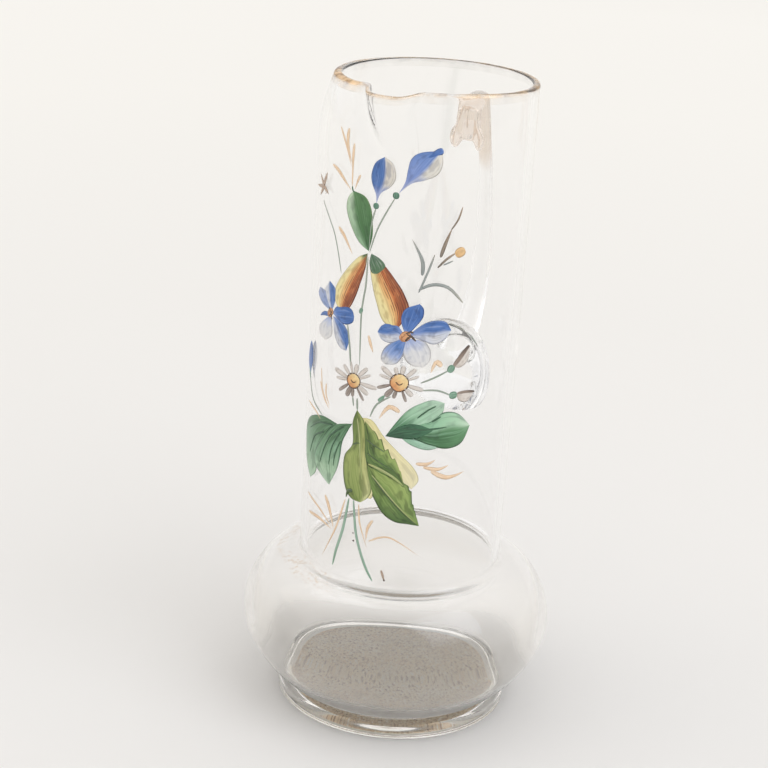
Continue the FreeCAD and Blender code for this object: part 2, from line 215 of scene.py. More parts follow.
# Brush marks: how deep they are, how far they move the tones, the hatching and the outlines, as shares of
# the stroke or of a hatch line, and the repeats of their noise across, along and between strokes
brush_depth = 0.04
sway_reach = 0.17
hatch_drift = 1.6
outline_wander = 0.3
wobble_repeats = (2.6, 2.0, 1.0)
brush_line_repeats = (22.0, 1.5, 1.0)
pool_repeats = (3.4, 5.0, 1.0)
hatch_gap_repeats = (9.0, 6.0, 1.0)


# Nodes and colours


def linear(hex_colour):
    """Linear RGBA from an sRGB hex colour."""
    values = []
    for start in (0, 2, 4):
        share = int(hex_colour[start:start + 2], 16) / 255
        values.append(share / 12.92 if share <= 0.04045 else ((share + 0.055) / 1.055) ** 2.4)
    return (*values, 1.0)


# Places of a colour mixing node's factor, two colours and result among its sockets
FACTOR, FIRST, SECOND, MIXED = 0, 6, 7, 2
# Setting of a range that starts and ends softly
SMOOTH = {"interpolation_type": "SMOOTHSTEP"}


def add_node(tree, kind, inputs=(), output=0, stops=None, **settings):
    """Adds a node with its settings, and gives its inputs, by place or name, a value or a link.
    Stops are the hex colours of a colour ramp by their places. It gives back one output, by place or name."""
    node = tree.nodes.new("ShaderNode" + kind)
    for name, value in settings.items():
        setattr(node, name, value)
    for name, value in inputs.items() if isinstance(inputs, dict) else enumerate(inputs):
        if isinstance(value, bpy.types.NodeSocket):
            tree.links.new(value, node.inputs[name])
        else:
            node.inputs[name].default_value = value
    if stops:
        elements = node.color_ramp.elements
        elements.remove(elements[1])
        first, *others = stops.items()
        elements[0].position = first[0]
        elements[0].color = linear(first[1])
        for position, colour in others:
            elements.new(position).color = linear(colour)
    return node.outputs[output] if node.outputs else None


def new_material(name):
    """Material without nodes, and the function that adds them to it."""
    material = bpy.data.materials.new(name)
    material.use_nodes = True
    material.node_tree.nodes.clear()
    return material, partial(add_node, material.node_tree)


def per_mm(spacing):
    """Texture scale, per metre, of a pattern with this spacing."""
    return 1 / (spacing * MM)


# Materials


def soda_lime_glass(name, grime):
    """Old soda-lime glass, blown and drawn by hand: clear and nearly colourless, with faint cloudy patches
    of wear. Grime gives how brown the glass looks at a place, from the tree's nodes."""
    material, add = new_material(name)
    place = add("TexCoord", output="Object")
    height = add("SeparateXYZ", [place], output="Z")
    bulb = add("MapRange", [height, shoulder_height * MM, (shoulder_height - tint_depth) * MM])
    clear = add("Mix", {FACTOR: bulb, FIRST: linear("fefefe"), SECOND: linear("fdfcfa")}, MIXED,
                data_type="RGBA")
    cloud = add("TexNoise", {
        "Vector": place, "Scale": per_mm(cloud_size), "Detail": 4.0, "Roughness": 0.6})
    haze = add("MapRange", [cloud, 0.42, 0.78], **SMOOTH)
    low = add("MapRange", [height, shoulder_height * MM, 0.0, 0.5, 1.0])
    worn = add("Math", [haze, low], operation="MULTIPLY")
    worn_roughness = add("Math", [worn, cloud_roughness, clean_roughness], operation="MULTIPLY_ADD")
    above = add("MapRange", [height, veil_low * MM, (veil_low + veil_rise) * MM])
    below = add("MapRange", [height, veil_high * MM, (veil_high - veil_fall) * MM])
    veil = add("Math", [above, below], operation="MULTIPLY")
    roughness = add("Math", [veil, veil_roughness, worn_roughness], operation="MULTIPLY_ADD")
    brown = grime(add, place, height)
    colour = add("Mix", {FACTOR: brown, FIRST: clear, SECOND: linear("dcc3a8")}, MIXED, data_type="RGBA")
    shader = add("BsdfPrincipled", {
        "Base Color": colour, "Roughness": roughness, "IOR": 1.5, "Transmission Weight": 1.0})
    add("OutputMaterial", [shader])
    return material


def shoulder_grime(add, place, height):
    """Grains left of a rubbed-off gilt line on the left of the shoulder, where the neck meets the bulb."""
    grain_size = 1.6
    line_height = shoulder_height + 1.5
    line_half_width = 1.5
    solid_half_width = 0.4
    wander_size = 14.0
    wander_height = 5.0
    line_start, line_full = -6.0, -16.0
    grains = add("TexNoise", {
        "Vector": place, "Scale": per_mm(grain_size), "Detail": 4.0, "Roughness": 0.8})
    grain = add("MapRange", [grains, 0.52, 0.60])
    wander = add("TexNoise", {"Vector": place, "Scale": per_mm(wander_size)})
    level = add("Math", [wander, wander_height * MM, height], operation="MULTIPLY_ADD")
    off_line = add("Math", [level, line_height * MM], operation="SUBTRACT")
    distance = add("Math", [off_line], operation="ABSOLUTE")
    line = add("MapRange", [distance, line_half_width * MM, solid_half_width * MM])
    left = add("MapRange", [add("SeparateXYZ", [place]), line_start * MM, line_full * MM])
    kept = add("Math", [line, left], operation="MULTIPLY")
    return add("Math", [kept, grain], operation="MULTIPLY")


def root_grime(add, place, height):
    """Brown dirt held under the handle's root, close to the rim."""
    dirt_size = 5.0
    dirt_height = 8.0
    dirt_low, dirt_full = root_height - 20, root_height - 12
    uneven = add("TexNoise", {"Vector": place, "Scale": per_mm(dirt_size)})
    level = add("Math", [uneven, dirt_height * MM, height], operation="MULTIPLY_ADD")
    return add("MapRange", [level, dirt_low * MM, dirt_full * MM, 0.0, 0.6])


def speckled_backing():
    """Matt grey-brown mineral grit on a cream backing: dark and pale grains of about 1 mm, browner at the
    disc's border. Only the top shows grains."""
    grain_size = 1.0
    patch_size = 14.0
    border_width = 7.0
    grain_depth = 0.3
    face_low, face_full = recess_height - 3 * grit_gap, recess_height - 2 * grit_gap
    material, add = new_material("speckled_mineral_layer")
    place = add("TexCoord", output="Object")
    grit = add("TexNoise", {
        "Vector": place, "Scale": per_mm(grain_size), "Detail": 2.0, "Roughness": 0.75})
    patches = add("TexNoise", {
        "Vector": place, "Scale": per_mm(patch_size), "Detail": 3.0, "Roughness": 0.6})
    speckled = add("ValToRGB", [patches], stops={0.3: "fbdfb8", 0.5: "ffecca", 0.75: "fff4de"})
    across = add("VectorMath", {0: place, 1: (1.0, 1.0, 0.0)}, operation="MULTIPLY")
    from_axis = add("VectorMath", [across], output="Value", operation="LENGTH")
    border = add("MapRange", [from_axis, (grit_radius - border_width) * MM, grit_radius * MM, 0.0, 0.45])
    dark = add("MapRange", [grit, 0.54, 0.62], **SMOOTH)
    pale = add("MapRange", [grit, 0.44, 0.34], **SMOOTH)
    for share, tone in ((border, "d6b690"), (dark, "b8977a"), (pale, "fff8ee")):
        speckled = add("Mix", {FACTOR: share, FIRST: speckled, SECOND: linear(tone)}, MIXED, data_type="RGBA")
    height = add("SeparateXYZ", [place], output="Z")
    face = add("MapRange", [height, face_low * MM, face_full * MM])
    colour = add("Mix", {FACTOR: face, FIRST: linear("efeadf"), SECOND: speckled}, MIXED, data_type="RGBA")
    normal = add("Bump", {"Height": grit, "Distance": grain_depth * MM})
    add("OutputMaterial", [add("BsdfPrincipled", {"Base Color": colour, "Roughness": 0.8, "Normal": normal})])
    return material


def worn_gilding():
    """Fired gold rubbed thin on a rim: pale warm metal with bare patches where the glass shows, and darker
    brown patches that are painted shade.
    """
    wear_size = 9.0
    painted_shade_size = 6.0
    wear_gain = 1.6
    material, add = new_material("worn_fired_gold")
    place = add("TexCoord", output="Object")
    band = add("UVMap", uv_map="band")
    kept = add("SeparateXYZ", [band])
    climb = add("SeparateXYZ", [band], output="Y")
    lip = add("MapRange", [climb, 0.15, 0.4, 0.12, 0.82], **SMOOTH)
    inside = add("MapRange", [climb, 0.95, 0.6], **SMOOTH)
    film = add("Math", [lip, inside], operation="MULTIPLY")
    wear = add("TexNoise", {"Vector": place, "Scale": per_mm(wear_size), "Detail": 5.0, "Roughness": 0.7})
    left = add("MapRange", [wear, 0.30, 0.70], **SMOOTH)
    gained = add("Math", [kept, wear_gain], operation="MULTIPLY")
    patches = add("Math", [left, gained], operation="MULTIPLY", use_clamp=True)
    cover = add("Math", [patches, film], operation="MULTIPLY")
    # Painted shade: noise turns patches of the gold a darker brown
    painted_shade_noise = add("TexNoise", {"Vector": place, "Scale": per_mm(painted_shade_size), "Detail": 3.0})
    colour = add("ValToRGB", [painted_shade_noise], stops={0.38: "b08a64", 0.5: "efcfa4", 0.72: "f8dfbf"})
    add("OutputMaterial", [add("BsdfPrincipled", {
        "Base Color": colour, "Metallic": 1.0, "Roughness": 0.38, "Alpha": cover})])
    return material


def hatched(add, colour, place, across, wobble, hatch):
    """Broken fine lines along the stroke: how many cross it, their tone, and where they set in across it."""
    line_count, tone, low, high = hatch
    drift = add("Math", [wobble, hatch_drift], operation="MULTIPLY")
    number = add("Math", [across, line_count, drift], operation="MULTIPLY_ADD")
    saw = add("Math", [number], operation="FRACT")
    off_middle = add("Math", [saw, 0.5], operation="SUBTRACT")
    off_line = add("Math", [off_middle], operation="ABSOLUTE")
    thin = add("MapRange", [off_line, 0.20, 0.08], **SMOOTH)
    spread = add("Mapping", {"Vector": place, "Scale": hatch_gap_repeats})
    gaps = add("TexNoise", {"Vector": spread, "Scale": 1.0})
    broken = add("MapRange", [gaps, 0.42, 0.50], **SMOOTH)
    reach = add("MapRange", [across, low, high], **SMOOTH)
    lines = add("Math", [thin, broken], operation="MULTIPLY")
    drawn = add("Math", [lines, reach], operation="MULTIPLY")
    return add("Mix", {FACTOR: drawn, FIRST: colour, SECOND: linear(tone)}, MIXED, data_type="RGBA")


def outlined(add, colour, across, sway, rim):
    """Darker paint gathered along both edges of the stroke: its tone, its width and its strength."""
    tone, width, strength = rim
    off_middle = add("Math", [across, 0.5], operation="SUBTRACT")
    out = add("Math", [off_middle], operation="ABSOLUTE")
    uneven = add("Math", [sway, outline_wander, out], operation="MULTIPLY_ADD")
    edge = add("MapRange", [uneven, 0.5 - width, 0.5, 0.0, strength], **SMOOTH)
    return add("Mix", {FACTOR: edge, FIRST: colour, SECOND: linear(tone)}, MIXED, data_type="RGBA")


def painted_enamel(name, tones, by="along", second=None, mask_by="across", mask_range=(0.4, 0.6),
                   streak=0.4, streak_tone="ffffff", shade_tone="8c8c96", hatch=None, rim=None, fade=None):
    """Fired enamel laid on with a soft brush. The tones run along or across the stroke, a second set takes
    over where the mask says, fine streaks and pools follow the brush, and thin paint fades out towards
    the tip."""
    material, add = new_material(name)
    brush = add("UVMap", uv_map="brush")
    across = add("SeparateXYZ", [brush])
    along = add("SeparateXYZ", [brush], output="Y")
    number = add("SeparateXYZ", [add("UVMap", uv_map="stroke")])
    place = add("CombineXYZ", [across, along, number])
    broad = add("Mapping", {"Vector": place, "Scale": wobble_repeats})
    wobble = add("TexNoise", {"Vector": broad, "Scale": 1.0, "Detail": 2.0})
    sway = add("Math", [wobble, 2 * sway_reach, -sway_reach], operation="MULTIPLY_ADD")
    ways = {"along": add("Math", [along, sway]), "across": add("Math", [across, sway])}
    colour = add("ValToRGB", [ways[by]], stops=tones)
    if second:
        mask = add("MapRange", [ways[mask_by], *mask_range], **SMOOTH)
        other = add("ValToRGB", [ways["along"]], stops=second)
        colour = add("Mix", {FACTOR: mask, FIRST: colour, SECOND: other}, MIXED, data_type="RGBA")
    shaded = add("Mix", {FACTOR: 1.0, FIRST: colour, SECOND: linear(shade_tone)}, MIXED,
                 data_type="RGBA", blend_type="MULTIPLY")
    fine = add("Mapping", {"Vector": place, "Scale": brush_line_repeats})
    lines = add("TexNoise", {"Vector": fine, "Scale": 1.0, "Detail": 3.0, "Roughness": 0.6})
    spread = add("Mapping", {"Vector": place, "Scale": pool_repeats})
    pool = add("TexNoise", {"Vector": spread, "Scale": 1.0})
    marks = ((lines, 0.70, linear(streak_tone)), (lines, 0.30, shaded), (pool, 0.34, shaded))
    for noise, full, tone in marks:
        share = add("MapRange", [noise, 0.50, full, 0.0, streak], **SMOOTH)
        colour = add("Mix", {FACTOR: share, FIRST: colour, SECOND: tone}, MIXED, data_type="RGBA")
    if hatch:
        colour = hatched(add, colour, place, across, wobble, hatch)
    if rim:
        colour = outlined(add, colour, across, sway, rim)
    cover = 1.0
    if fade:
        thick, thin = fade
        start = add("MapRange", [along, 0.45, 1.0, thick, thin], **SMOOTH)
        gained = add("MapRange", [lines, 0.35, 0.65, 0.0, 1 - thick], **SMOOTH)
        cover = add("Math", [start, gained], use_clamp=True)
    normal = add("Bump", {"Height": lines, "Distance": brush_depth * MM})
    add("OutputMaterial", [add("BsdfPrincipled", {
        "Base Color": colour, "Roughness": enamel_roughness, "Coat Weight": 0.1, "Coat Roughness": 0.3,
        "Alpha": cover, "Normal": normal})])
    return material


def pale_ground():
    """Pale floor whose colour holds painted shade: a little greyer round the jug than further out."""
    ramp_reach = 2400.0
    material, add = new_material("pale_floor")
    distance = add("VectorMath", [add("TexCoord", output="Object")], output="Value", operation="LENGTH")
    share = add("Math", [distance, ramp_reach * MM], operation="DIVIDE")
    # Painted shade: the colour greys towards the jug and grows paler far from it
    colour = add("ValToRGB", [share], stops={
        0: "edebe8", 0.06: "ebe9e6", 0.22: "edebe7", 0.5: "f5f3ee", 0.8: "faf8f3"})
    shader = add("BsdfPrincipled", {"Base Color": colour, "Roughness": 0.9, "Specular IOR Level": 0.1})
    add("OutputMaterial", [shader])
    return material


# Meshes

COLUMN_ANGLES = [-180 + 360 * index / columns for index in range(columns)]


def new_object(name, data):
    """Object in the scene with this data."""
    thing = bpy.data.objects.new(name, data)
    bpy.context.scene.collection.objects.link(thing)
    return thing


def mesh_object(name, bm):
    """Object in the scene with this mesh."""
    mesh = bpy.data.meshes.new(name)
    bm.to_mesh(mesh)
    bm.free()
    return new_object(name, mesh)


def shade_smooth(piece):
    """Smooth shading on every face."""
    for polygon in piece.data.polygons:
        polygon.use_smooth = True


def make_piece(name, bm, material, replaced):
    """Piece from a mesh in millimetres; it rides on the jug and stands for a CAD node, with its finish."""
    bmesh.ops.scale(bm, vec=(MM, MM, MM), verts=bm.verts)
    piece = mesh_object(name, bm)
    shade_smooth(piece)
    piece.data.materials.append(material)
    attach(piece, "root")
    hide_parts(replaced)
    return piece


def around(angle, reach, height):
    """Point at an angle, a reach from the axis and a height."""
    turn = math.radians(angle)
    return Vector((reach * math.sin(turn), -reach * math.cos(turn), height))


def ring(bm, points):
    """Vertices at a ring of points."""
    return [bm.verts.new(point) for point in points]


def bridge(bm, lower, upper):
    """Faces between two rings."""
    count = len(lower)
    for index in range(count):
        after = (index + 1) % count
        bm.faces.new((lower[index], lower[after], upper[after], upper[index]))


def cap(bm, verts, centre):
    """Faces from a ring to its centre."""
    middle = bm.verts.new(centre)
    for index in range(len(verts)):
        bm.faces.new((verts[index], middle, verts[(index + 1) % len(verts)]))


def closed_skin(bm, rings, low, high):
    """Faces from a point on the axis through all the rings to another point on the axis."""
    for lower, upper in zip(rings, rings[1:]):
        bridge(bm, lower, upper)
    cap(bm, rings[0], (0, 0, low))
    cap(bm, rings[-1][::-1], (0, 0, high))


def lathe(bm, outline):
    """Closed solid of one turn of an outline from the axis to the axis."""
    rings = [ring(bm, [around(angle, *place) for angle in COLUMN_ANGLES]) for place in outline[1:-1]]
    closed_skin(bm, rings, outline[0][1], outline[-1][1])


def bezier_points(start, start_handle, end_handle, end, count):
    """Points of a flat Bezier curve."""
    places = [Vector((*place, 0)) for place in (start, start_handle, end_handle, end)]
    return [(point.x, point.y) for point in interpolate_bezier(*places, count)]


def smooth_line(points, count):
    """Evenly numbered points on a soft curve through the given ones."""
    line = []
    last = len(points) - 1
    for step in range(count + 1):
        place = last * step / count
        index = min(int(place), last - 1)
        t = place - index
        before = points[max(index - 1, 0)]
        start = points[index]
        end = points[index + 1]
        after = points[min(index + 2, last)]
        line.append(0.5 * (
            2 * start + (end - before) * t
            + (2 * before - 5 * start + 4 * end - after) * t * t
            + (3 * start - before - 3 * end + after) * t ** 3))
    return line


def flat_line(places, count):
    """Evenly numbered points on a soft curve through flat places."""
    return smooth_line([Vector((*place, 0)) for place in places], count)


# Blown body


def vessel_profile(inset, joint, floor_height):
    """Radius and height of points up one skin of the glass, from the bulb's joint to the spout's root."""
    neck = neck_radius - inset
    swell = bulb_radius - inset
    shoulder = shoulder_height - inset
    widest = floor_height + (shoulder - floor_height) * bulb_widest_share
    crease_end = neck_radius + crease_radius
    crease = crease_radius + inset
    points = bezier_points(
        (joint, floor_height),
        (joint + joint_handle, floor_height + joint_handle * joint_slope),
        (swell, widest - lower_swell_handle),
        (swell, widest), lower_bulb_points)
    points += bezier_points(
        (swell, widest),
        (swell, widest + upper_swell_handle),
        (crease_end + shoulder_handle, shoulder),
        (crease_end, shoulder), upper_bulb_points)[1:]
    for step in range(1, crease_steps + 1):
        turn = math.pi / 2 * step / crease_steps
        points.append((crease_end - crease * math.sin(turn), shoulder + crease * (1 - math.cos(turn))))
    low = shoulder + crease
    rise = spout_root_height - low
    points += [(neck, low + rise * step / neck_steps) for step in range(1, neck_steps + 1)]
    return points


def bell(angle, middle, half_angle, power):
    """Smooth bump of height 1 about a middle angle: round with power 2, flatter on top with power 4."""
    return math.exp(-abs((angle - middle) / half_angle) ** power)


def mouth_point(angle, radius, growth):
    """Point of the mouth's skin: growth is the share of the mouth's depth climbed."""
    spout_middle = spout_root_angle + spout_turn * growth
    half_angle = spout_half_angle * (spout_root_share + (1 - spout_root_share) * growth)
    near_pinch = bell(angle, spout_middle - half_angle - pinch_half_angle, pinch_half_angle, 2)
    far_pinch = bell(angle, spout_middle + half_angle + pinch_half_angle, pinch_half_angle, 2)
    pinch = pinch_depth * (near_pinch + far_pinch_share * far_pinch)
    spout = bell(angle, spout_middle, half_angle, 4)
    narrowing = rim_narrowing + rim_dent * bell(angle, rim_dent_angle, rim_dent_half_angle, 2)
    reach = radius + spout_reach * spout * growth ** 1.5 - pinch * growth - narrowing * growth ** 2
    shift = rim_shift * growth ** 2
    aside = math.radians(rim_shift_turn)
    turn = math.radians(angle)
    return Vector((
        reach * math.sin(turn) + shift * math.cos(aside),
        -reach * math.cos(turn) + shift * math.sin(aside),
        jug_height - spout_depth * (1 - growth) - spout_dip * spout * growth ** 2))


def blown_wave(angle, height, inner=False):
    """Unevenness of one skin, always inwards. The inner skin is less uneven, and turned against the outer."""
    turn = math.radians(angle + (inner_wave_turn if inner else 0))
    wide = math.sin(2 * turn + height / wide_wave_climb)
    tight = math.sin(3 * turn - height / tight_wave_climb + tight_wave_start)
    swing = wide + tight_wave_share * tight
    fade = min(max((height - wave_low) / wave_fade, 0), 1)
    wave = wave_depth * fade * (swing / (1 + tight_wave_share) - 1) / 2
    return wave * (inner_wave_share if inner else 1)


def level_ring(bm, radius, height, inner=False):
    """Level ring of one skin."""
    return ring(bm, [
        around(angle, radius + blown_wave(angle, height, inner), height) for angle in COLUMN_ANGLES])


def mouth_ring(bm, radius, growth, inner=False):
    """Ring of one skin of the mouth."""
    points = []
    for angle in COLUMN_ANGLES:
        wave = blown_wave(angle, spout_root_height, inner)
        points.append(mouth_point(angle, radius, growth) + around(angle, 1, 0) * wave)
    return ring(bm, points)


def lip_sides():
    """Radius, growth and lean of places up the outer side of the rounded lip, and up its inner side."""
    outer = []
    inner = []
    for step in range(lip_steps + 1):
        turn = math.pi / 2 * step / lip_steps
        inset = rim_rounding * (1 - math.cos(turn))
        growth = lip_start + (1 - lip_start) * math.sin(turn)
        outer.append((neck_radius - inset, growth, turn))
        inner.append((bore_radius + inset, growth, math.pi - turn))
    return outer, inner


def body_piece(glass):
    """Bulb, neck and spout as one closed skin: up the outside, over the lip and down the inside."""
    bm = bmesh.new()
    outer_lip, inner_lip = lip_sides()
    outside = vessel_profile(0, bulb_joint_radius, bulb_floor)
    inside = vessel_profile(glass_wall, inner_joint_radius, inner_floor)[::-1]
    growths = [lip_start * step / mouth_steps for step in range(1, mouth_steps + 1)]
    rings = [level_ring(bm, bulb_joint_radius * share, bulb_floor) for share in floor_shares]
    rings += [level_ring(bm, radius, height) for radius, height in outside]
    rings += [mouth_ring(bm, neck_radius, growth) for growth in growths]
    rings += [mouth_ring(bm, radius, growth) for radius, growth, lean in outer_lip[1:]]
    rings += [mouth_ring(bm, radius, growth, True) for radius, growth, lean in inner_lip[::-1]]
    rings += [mouth_ring(bm, bore_radius, growth, True) for growth in growths[-2::-1]]
    rings += [level_ring(bm, radius, height, True) for radius, height in inside]
    rings += [level_ring(bm, inner_joint_radius * share, inner_floor) for share in inner_floor_shares]
    closed_skin(bm, rings, bulb_floor, inner_floor)
    return make_piece("blown_body", bm, glass, "body")


# Foot and grit


def rounded_corner(centre, radius, start_angle, end_angle, count=6):
    """Points round a corner of an outline."""
    points = []
    for index in range(count + 1):
        turn = math.radians(start_angle + (end_angle - start_angle) * index / count)
        points.append((centre[0] + radius * math.cos(turn), centre[1] + radius * math.sin(turn)))
    return points


def foot_piece(glass):
    """Pressed disc, hollowed underneath for the grit."""
    hollow_radius = grit_radius + grit_gap + math.hypot(*grit_shift)
    ring_radius = foot_radius - contact_inset
    flat_edge = foot_radius - foot_top_rounding
    top = foot_height + fused_height
    outline = [
        (0, recess_height),
        (hollow_radius - support, recess_height),
        (hollow_radius - corner, recess_height),
        (hollow_radius, recess_height - corner),
        (hollow_radius, foot_lift + corner),
        (hollow_radius + corner, foot_lift),
        (ring_radius - support, foot_lift),
        (ring_radius - corner, foot_lift),
        (ring_radius, 0)]
    outline += rounded_corner(
        (foot_radius - foot_edge_rounding, foot_edge_rounding), foot_edge_rounding, -90, 0)
    outline += rounded_corner((flat_edge, top - foot_top_rounding), foot_top_rounding, 0, 90)
    outline += [(flat_edge - corner, top), (flat_edge - support, top), (0, top)]
    bm = bmesh.new()
    lathe(bm, outline)
    return make_piece("pressed_foot", bm, glass, "foot")


def grit_piece(grit):
    """Thin disc of speckled grit in the foot's hollow, with softened edges."""
    low = grit_gap
    top = recess_height - grit_gap
    bm = bmesh.new()
    lathe(bm, [
        (0, low),
        (grit_radius - support, low),
        (grit_radius - corner, low),
        (grit_radius, low + corner),
        (grit_radius, top - corner),
        (grit_radius - corner, top),
        (grit_radius - support, top),
        (0, top)])
    bmesh.ops.translate(bm, vec=(*grit_shift, 0), verts=bm.verts)
    return make_piece("grit_disc", bm, grit, "speckled_disc")


# Handle


def strap_mesh(bm):
    """Oval sections swept along the strap's middle line."""
    span = handle_top_height - handle_pad_height
    places = []
    halves = []
    for reach_share, height_share, width_share, thickness_share in STRAP_SHARES:
        places.append(Vector((
            0, neck_radius + handle_reach * reach_share, handle_pad_height + span * height_share)))
        halves.append(Vector((width_share * strap_width / 2, thickness_share * strap_thickness / 2, 0)))
    centres = smooth_line(places, strap_steps)
    across = Vector((1, 0, 0))
    rings = []
    for index, (centre, half) in enumerate(zip(centres, smooth_line(halves, strap_steps))):
        ahead = centres[min(index + 1, strap_steps)]
        behind = centres[max(index - 1, 0)]
        aside = (ahead - behind).normalized().cross(across)
        points = []
        for step in range(strap_columns):
            turn = 2 * math.pi * step / strap_columns
            points.append(centre + across * half.x * math.cos(turn) + aside * half.y * math.sin(turn))
        rings.append(ring(bm, points))
    for lower, upper in zip(rings, rings[1:]):
        bridge(bm, lower, upper)
    bm.faces.new(rings[0][::-1])
    bm.faces.new(rings[-1])


def lump_mesh(bm, height, half_width, half_height, depth, centre_reach, aside=0):
    """Flattened round lump of glass pressed against the neck."""
    stretch = Matrix.Diagonal((half_width, depth, half_height, 1))
    place = Matrix.Translation((aside, centre_reach, height))
    bmesh.ops.create_uvsphere(
        bm, u_segments=lump_columns, v_segments=lump_rings, radius=1, matrix=place @ stretch)


def neck_cutter():
    """Round block that fills the neck, with the gap between it and the handle."""
    radius = neck_radius + handle_gap
    bm = bmesh.new()
    lathe(bm, [(0, cutter_low), (radius, cutter_low), (radius, cutter_high), (0, cutter_high)])
    bmesh.ops.scale(bm, vec=(MM, MM, MM), verts=bm.verts)
    bmesh.ops.recalc_face_normals(bm, faces=bm.faces)
    return mesh_object("neck_cutter", bm)


def apply_modifiers(piece):
    """Replaces the piece's mesh by what its modifiers make of it."""
    depsgraph = bpy.context.evaluated_depsgraph_get()
    mesh = bpy.data.meshes.new_from_object(piece.evaluated_get(depsgraph))
    old = piece.data
    piece.modifiers.clear()
    piece.data = mesh
    bpy.data.meshes.remove(old)


def handle_piece(glass):
    """Drawn strap with its pad, root and toes melted into one; its contact faces follow the neck's skin."""
    bm = bmesh.new()
    strap_mesh(bm)
    pad_reach = neck_radius + pad_bulge - pad_depth
    lump_mesh(bm, handle_pad_height, pad_half_width, pad_half_height, pad_depth, pad_reach)
    root_reach = neck_radius + root_bulge - root_depth
    lump_mesh(bm, root_height, root_half_width, root_half_height, root_depth, root_reach)
    toe_reach = math.sqrt(neck_radius ** 2 - toe_spread ** 2) + toe_bulge - root_depth
    for side in (-1, 1):
        lump_mesh(bm, toe_height, toe_half_width, toe_half_height, root_depth, toe_reach, side * toe_spread)
    bmesh.ops.recalc_face_normals(bm, faces=bm.faces)
    turn = Matrix.Rotation(-math.radians(handle_turn), 3, "Z")
    bmesh.ops.rotate(bm, cent=(0, 0, 0), matrix=turn, verts=bm.verts)
    piece = make_piece("drawn_handle", bm, glass, "handle")
    melt = piece.modifiers.new("melt", "REMESH")
    melt.mode = "VOXEL"
    melt.voxel_size = melt_voxel * MM
    soften = piece.modifiers.new("soften", "SMOOTH")
    soften.factor = 0.5
    soften.iterations = soften_rounds
    cutter = neck_cutter()
    cut = piece.modifiers.new("neck", "BOOLEAN")
    cut.operation = "DIFFERENCE"
    cut.object = cutter
    apply_modifiers(piece)
    bpy.data.objects.remove(cutter)
    shade_smooth(piece)
    return piece


# Rim gilding


def gilding_piece(gold):
    """Film of gold over the rim: from under the lip's outer edge to just inside the mouth."""
    bm = bmesh.new()
    low = lip_start - gilt_band_height / spout_depth
    outer_lip, inner_lip = lip_sides()
    outline = [
        (neck_radius, low + (lip_start - low) * step / gilt_band_steps, 0.0)
        for step in range(gilt_band_steps + 1)]
    outline += outer_lip[1:] + inner_lip[:0:-1]
    skins = []
    for lift in (gilt_lift, gilt_lift + gilt_film):
        rings = []
        for radius, growth, lean in outline:
            verts = mouth_ring(bm, radius + lift * math.cos(lean), growth, lean > math.pi / 2)
            for vert in verts:
                vert.co.z += lift * math.sin(lean)
            rings.append(verts)
        skins.append(rings)
    low_skin, high_skin = skins
    for lower, upper in zip(high_skin, high_skin[1:]):
        bridge(bm, lower, upper)
    for lower, upper in zip(low_skin, low_skin[1:]):
        bridge(bm, upper, lower)
    bridge(bm, low_skin[0], high_skin[0])
    bridge(bm, high_skin[-1], low_skin[-1])
    band = bm.loops.layers.uv.new("band")
    climbs = {}
    for rings in skins:
        for row, verts in enumerate(rings):
            climbs |= {vert: row / (len(outline) - 1) for vert in verts}
    for face in bm.faces:
        for loop in face.loops:
            angle = math.degrees(math.atan2(loop.vert.co.x, -loop.vert.co.y))
            thick = gilt_thick_share * bell(angle, gilt_thick_angle, gilt_thick_half_angle, 4)
            loop[band].uv = (gilt_thin_share + thick, climbs[loop.vert])
    return make_piece("rim_gold", bm, gold, "rim_gilding")


# Enamel strokes: places are in millimetres on the unrolled neck, across from the spout and up from the table

# Half width of a stroke at nine places from its base to its tip, as shares of its largest
FORM_SHARES = {
    "leaf": (0.0, 0.52, 0.86, 1.0, 0.92, 0.66, 0.36, 0.12, 0.0),
    "oval": (0.0, 0.38, 0.71, 0.92, 1.0, 0.92, 0.71, 0.38, 0.0),
    "line": (0.0, 0.55, 0.85, 1.0, 1.0, 0.95, 0.75, 0.4, 0.0),
    "petal": (0.0, 0.22, 0.50, 0.80, 0.98, 1.0, 0.84, 0.48, 0.0),
}


def on_neck(across, up, lift):
    """Point above the glass for a place on the unrolled neck, also where it leans out to the mouth."""
    angle = math.degrees(across / neck_radius)
    reach = neck_radius + blown_wave(angle, min(up, spout_root_height)) + enamel_gap + lift
    if up > spout_root_height:
        return mouth_point(angle, reach, (up - spout_root_height) / spout_depth)
    return around(angle, reach, up)


def half_turn_share(step_share):
    """Share of the way along a stroke: steps are closer near its ends."""
    return (1 - math.cos(math.pi * step_share)) / 2


def point_at(line, share):
    """Point at a share of the way along a line, and the number of the line's point before it."""
    place = share * (len(line) - 1)
    index = min(int(place), len(line) - 2)
    return line[index].lerp(line[index + 1], place - index), index


def drawn_edges(form, points, half_width):
    """Both edges of a stroke drawn along a middle line in one of the forms."""
    line = flat_line(points, middle_steps)
    shares = FORM_SHARES[form]
    left = []
    right = []
    for step, share in enumerate(shares):
        centre, index = point_at(line, half_turn_share(step / (len(shares) - 1)))
        along = (line[min(index + 2, middle_steps)] - line[max(index - 1, 0)]).normalized()
        aside = Vector((along.y, -along.x, 0)) * half_width * share
        left.append(tuple((centre - aside).xy))
        right.append(tuple((centre + aside).xy))
    return left, right


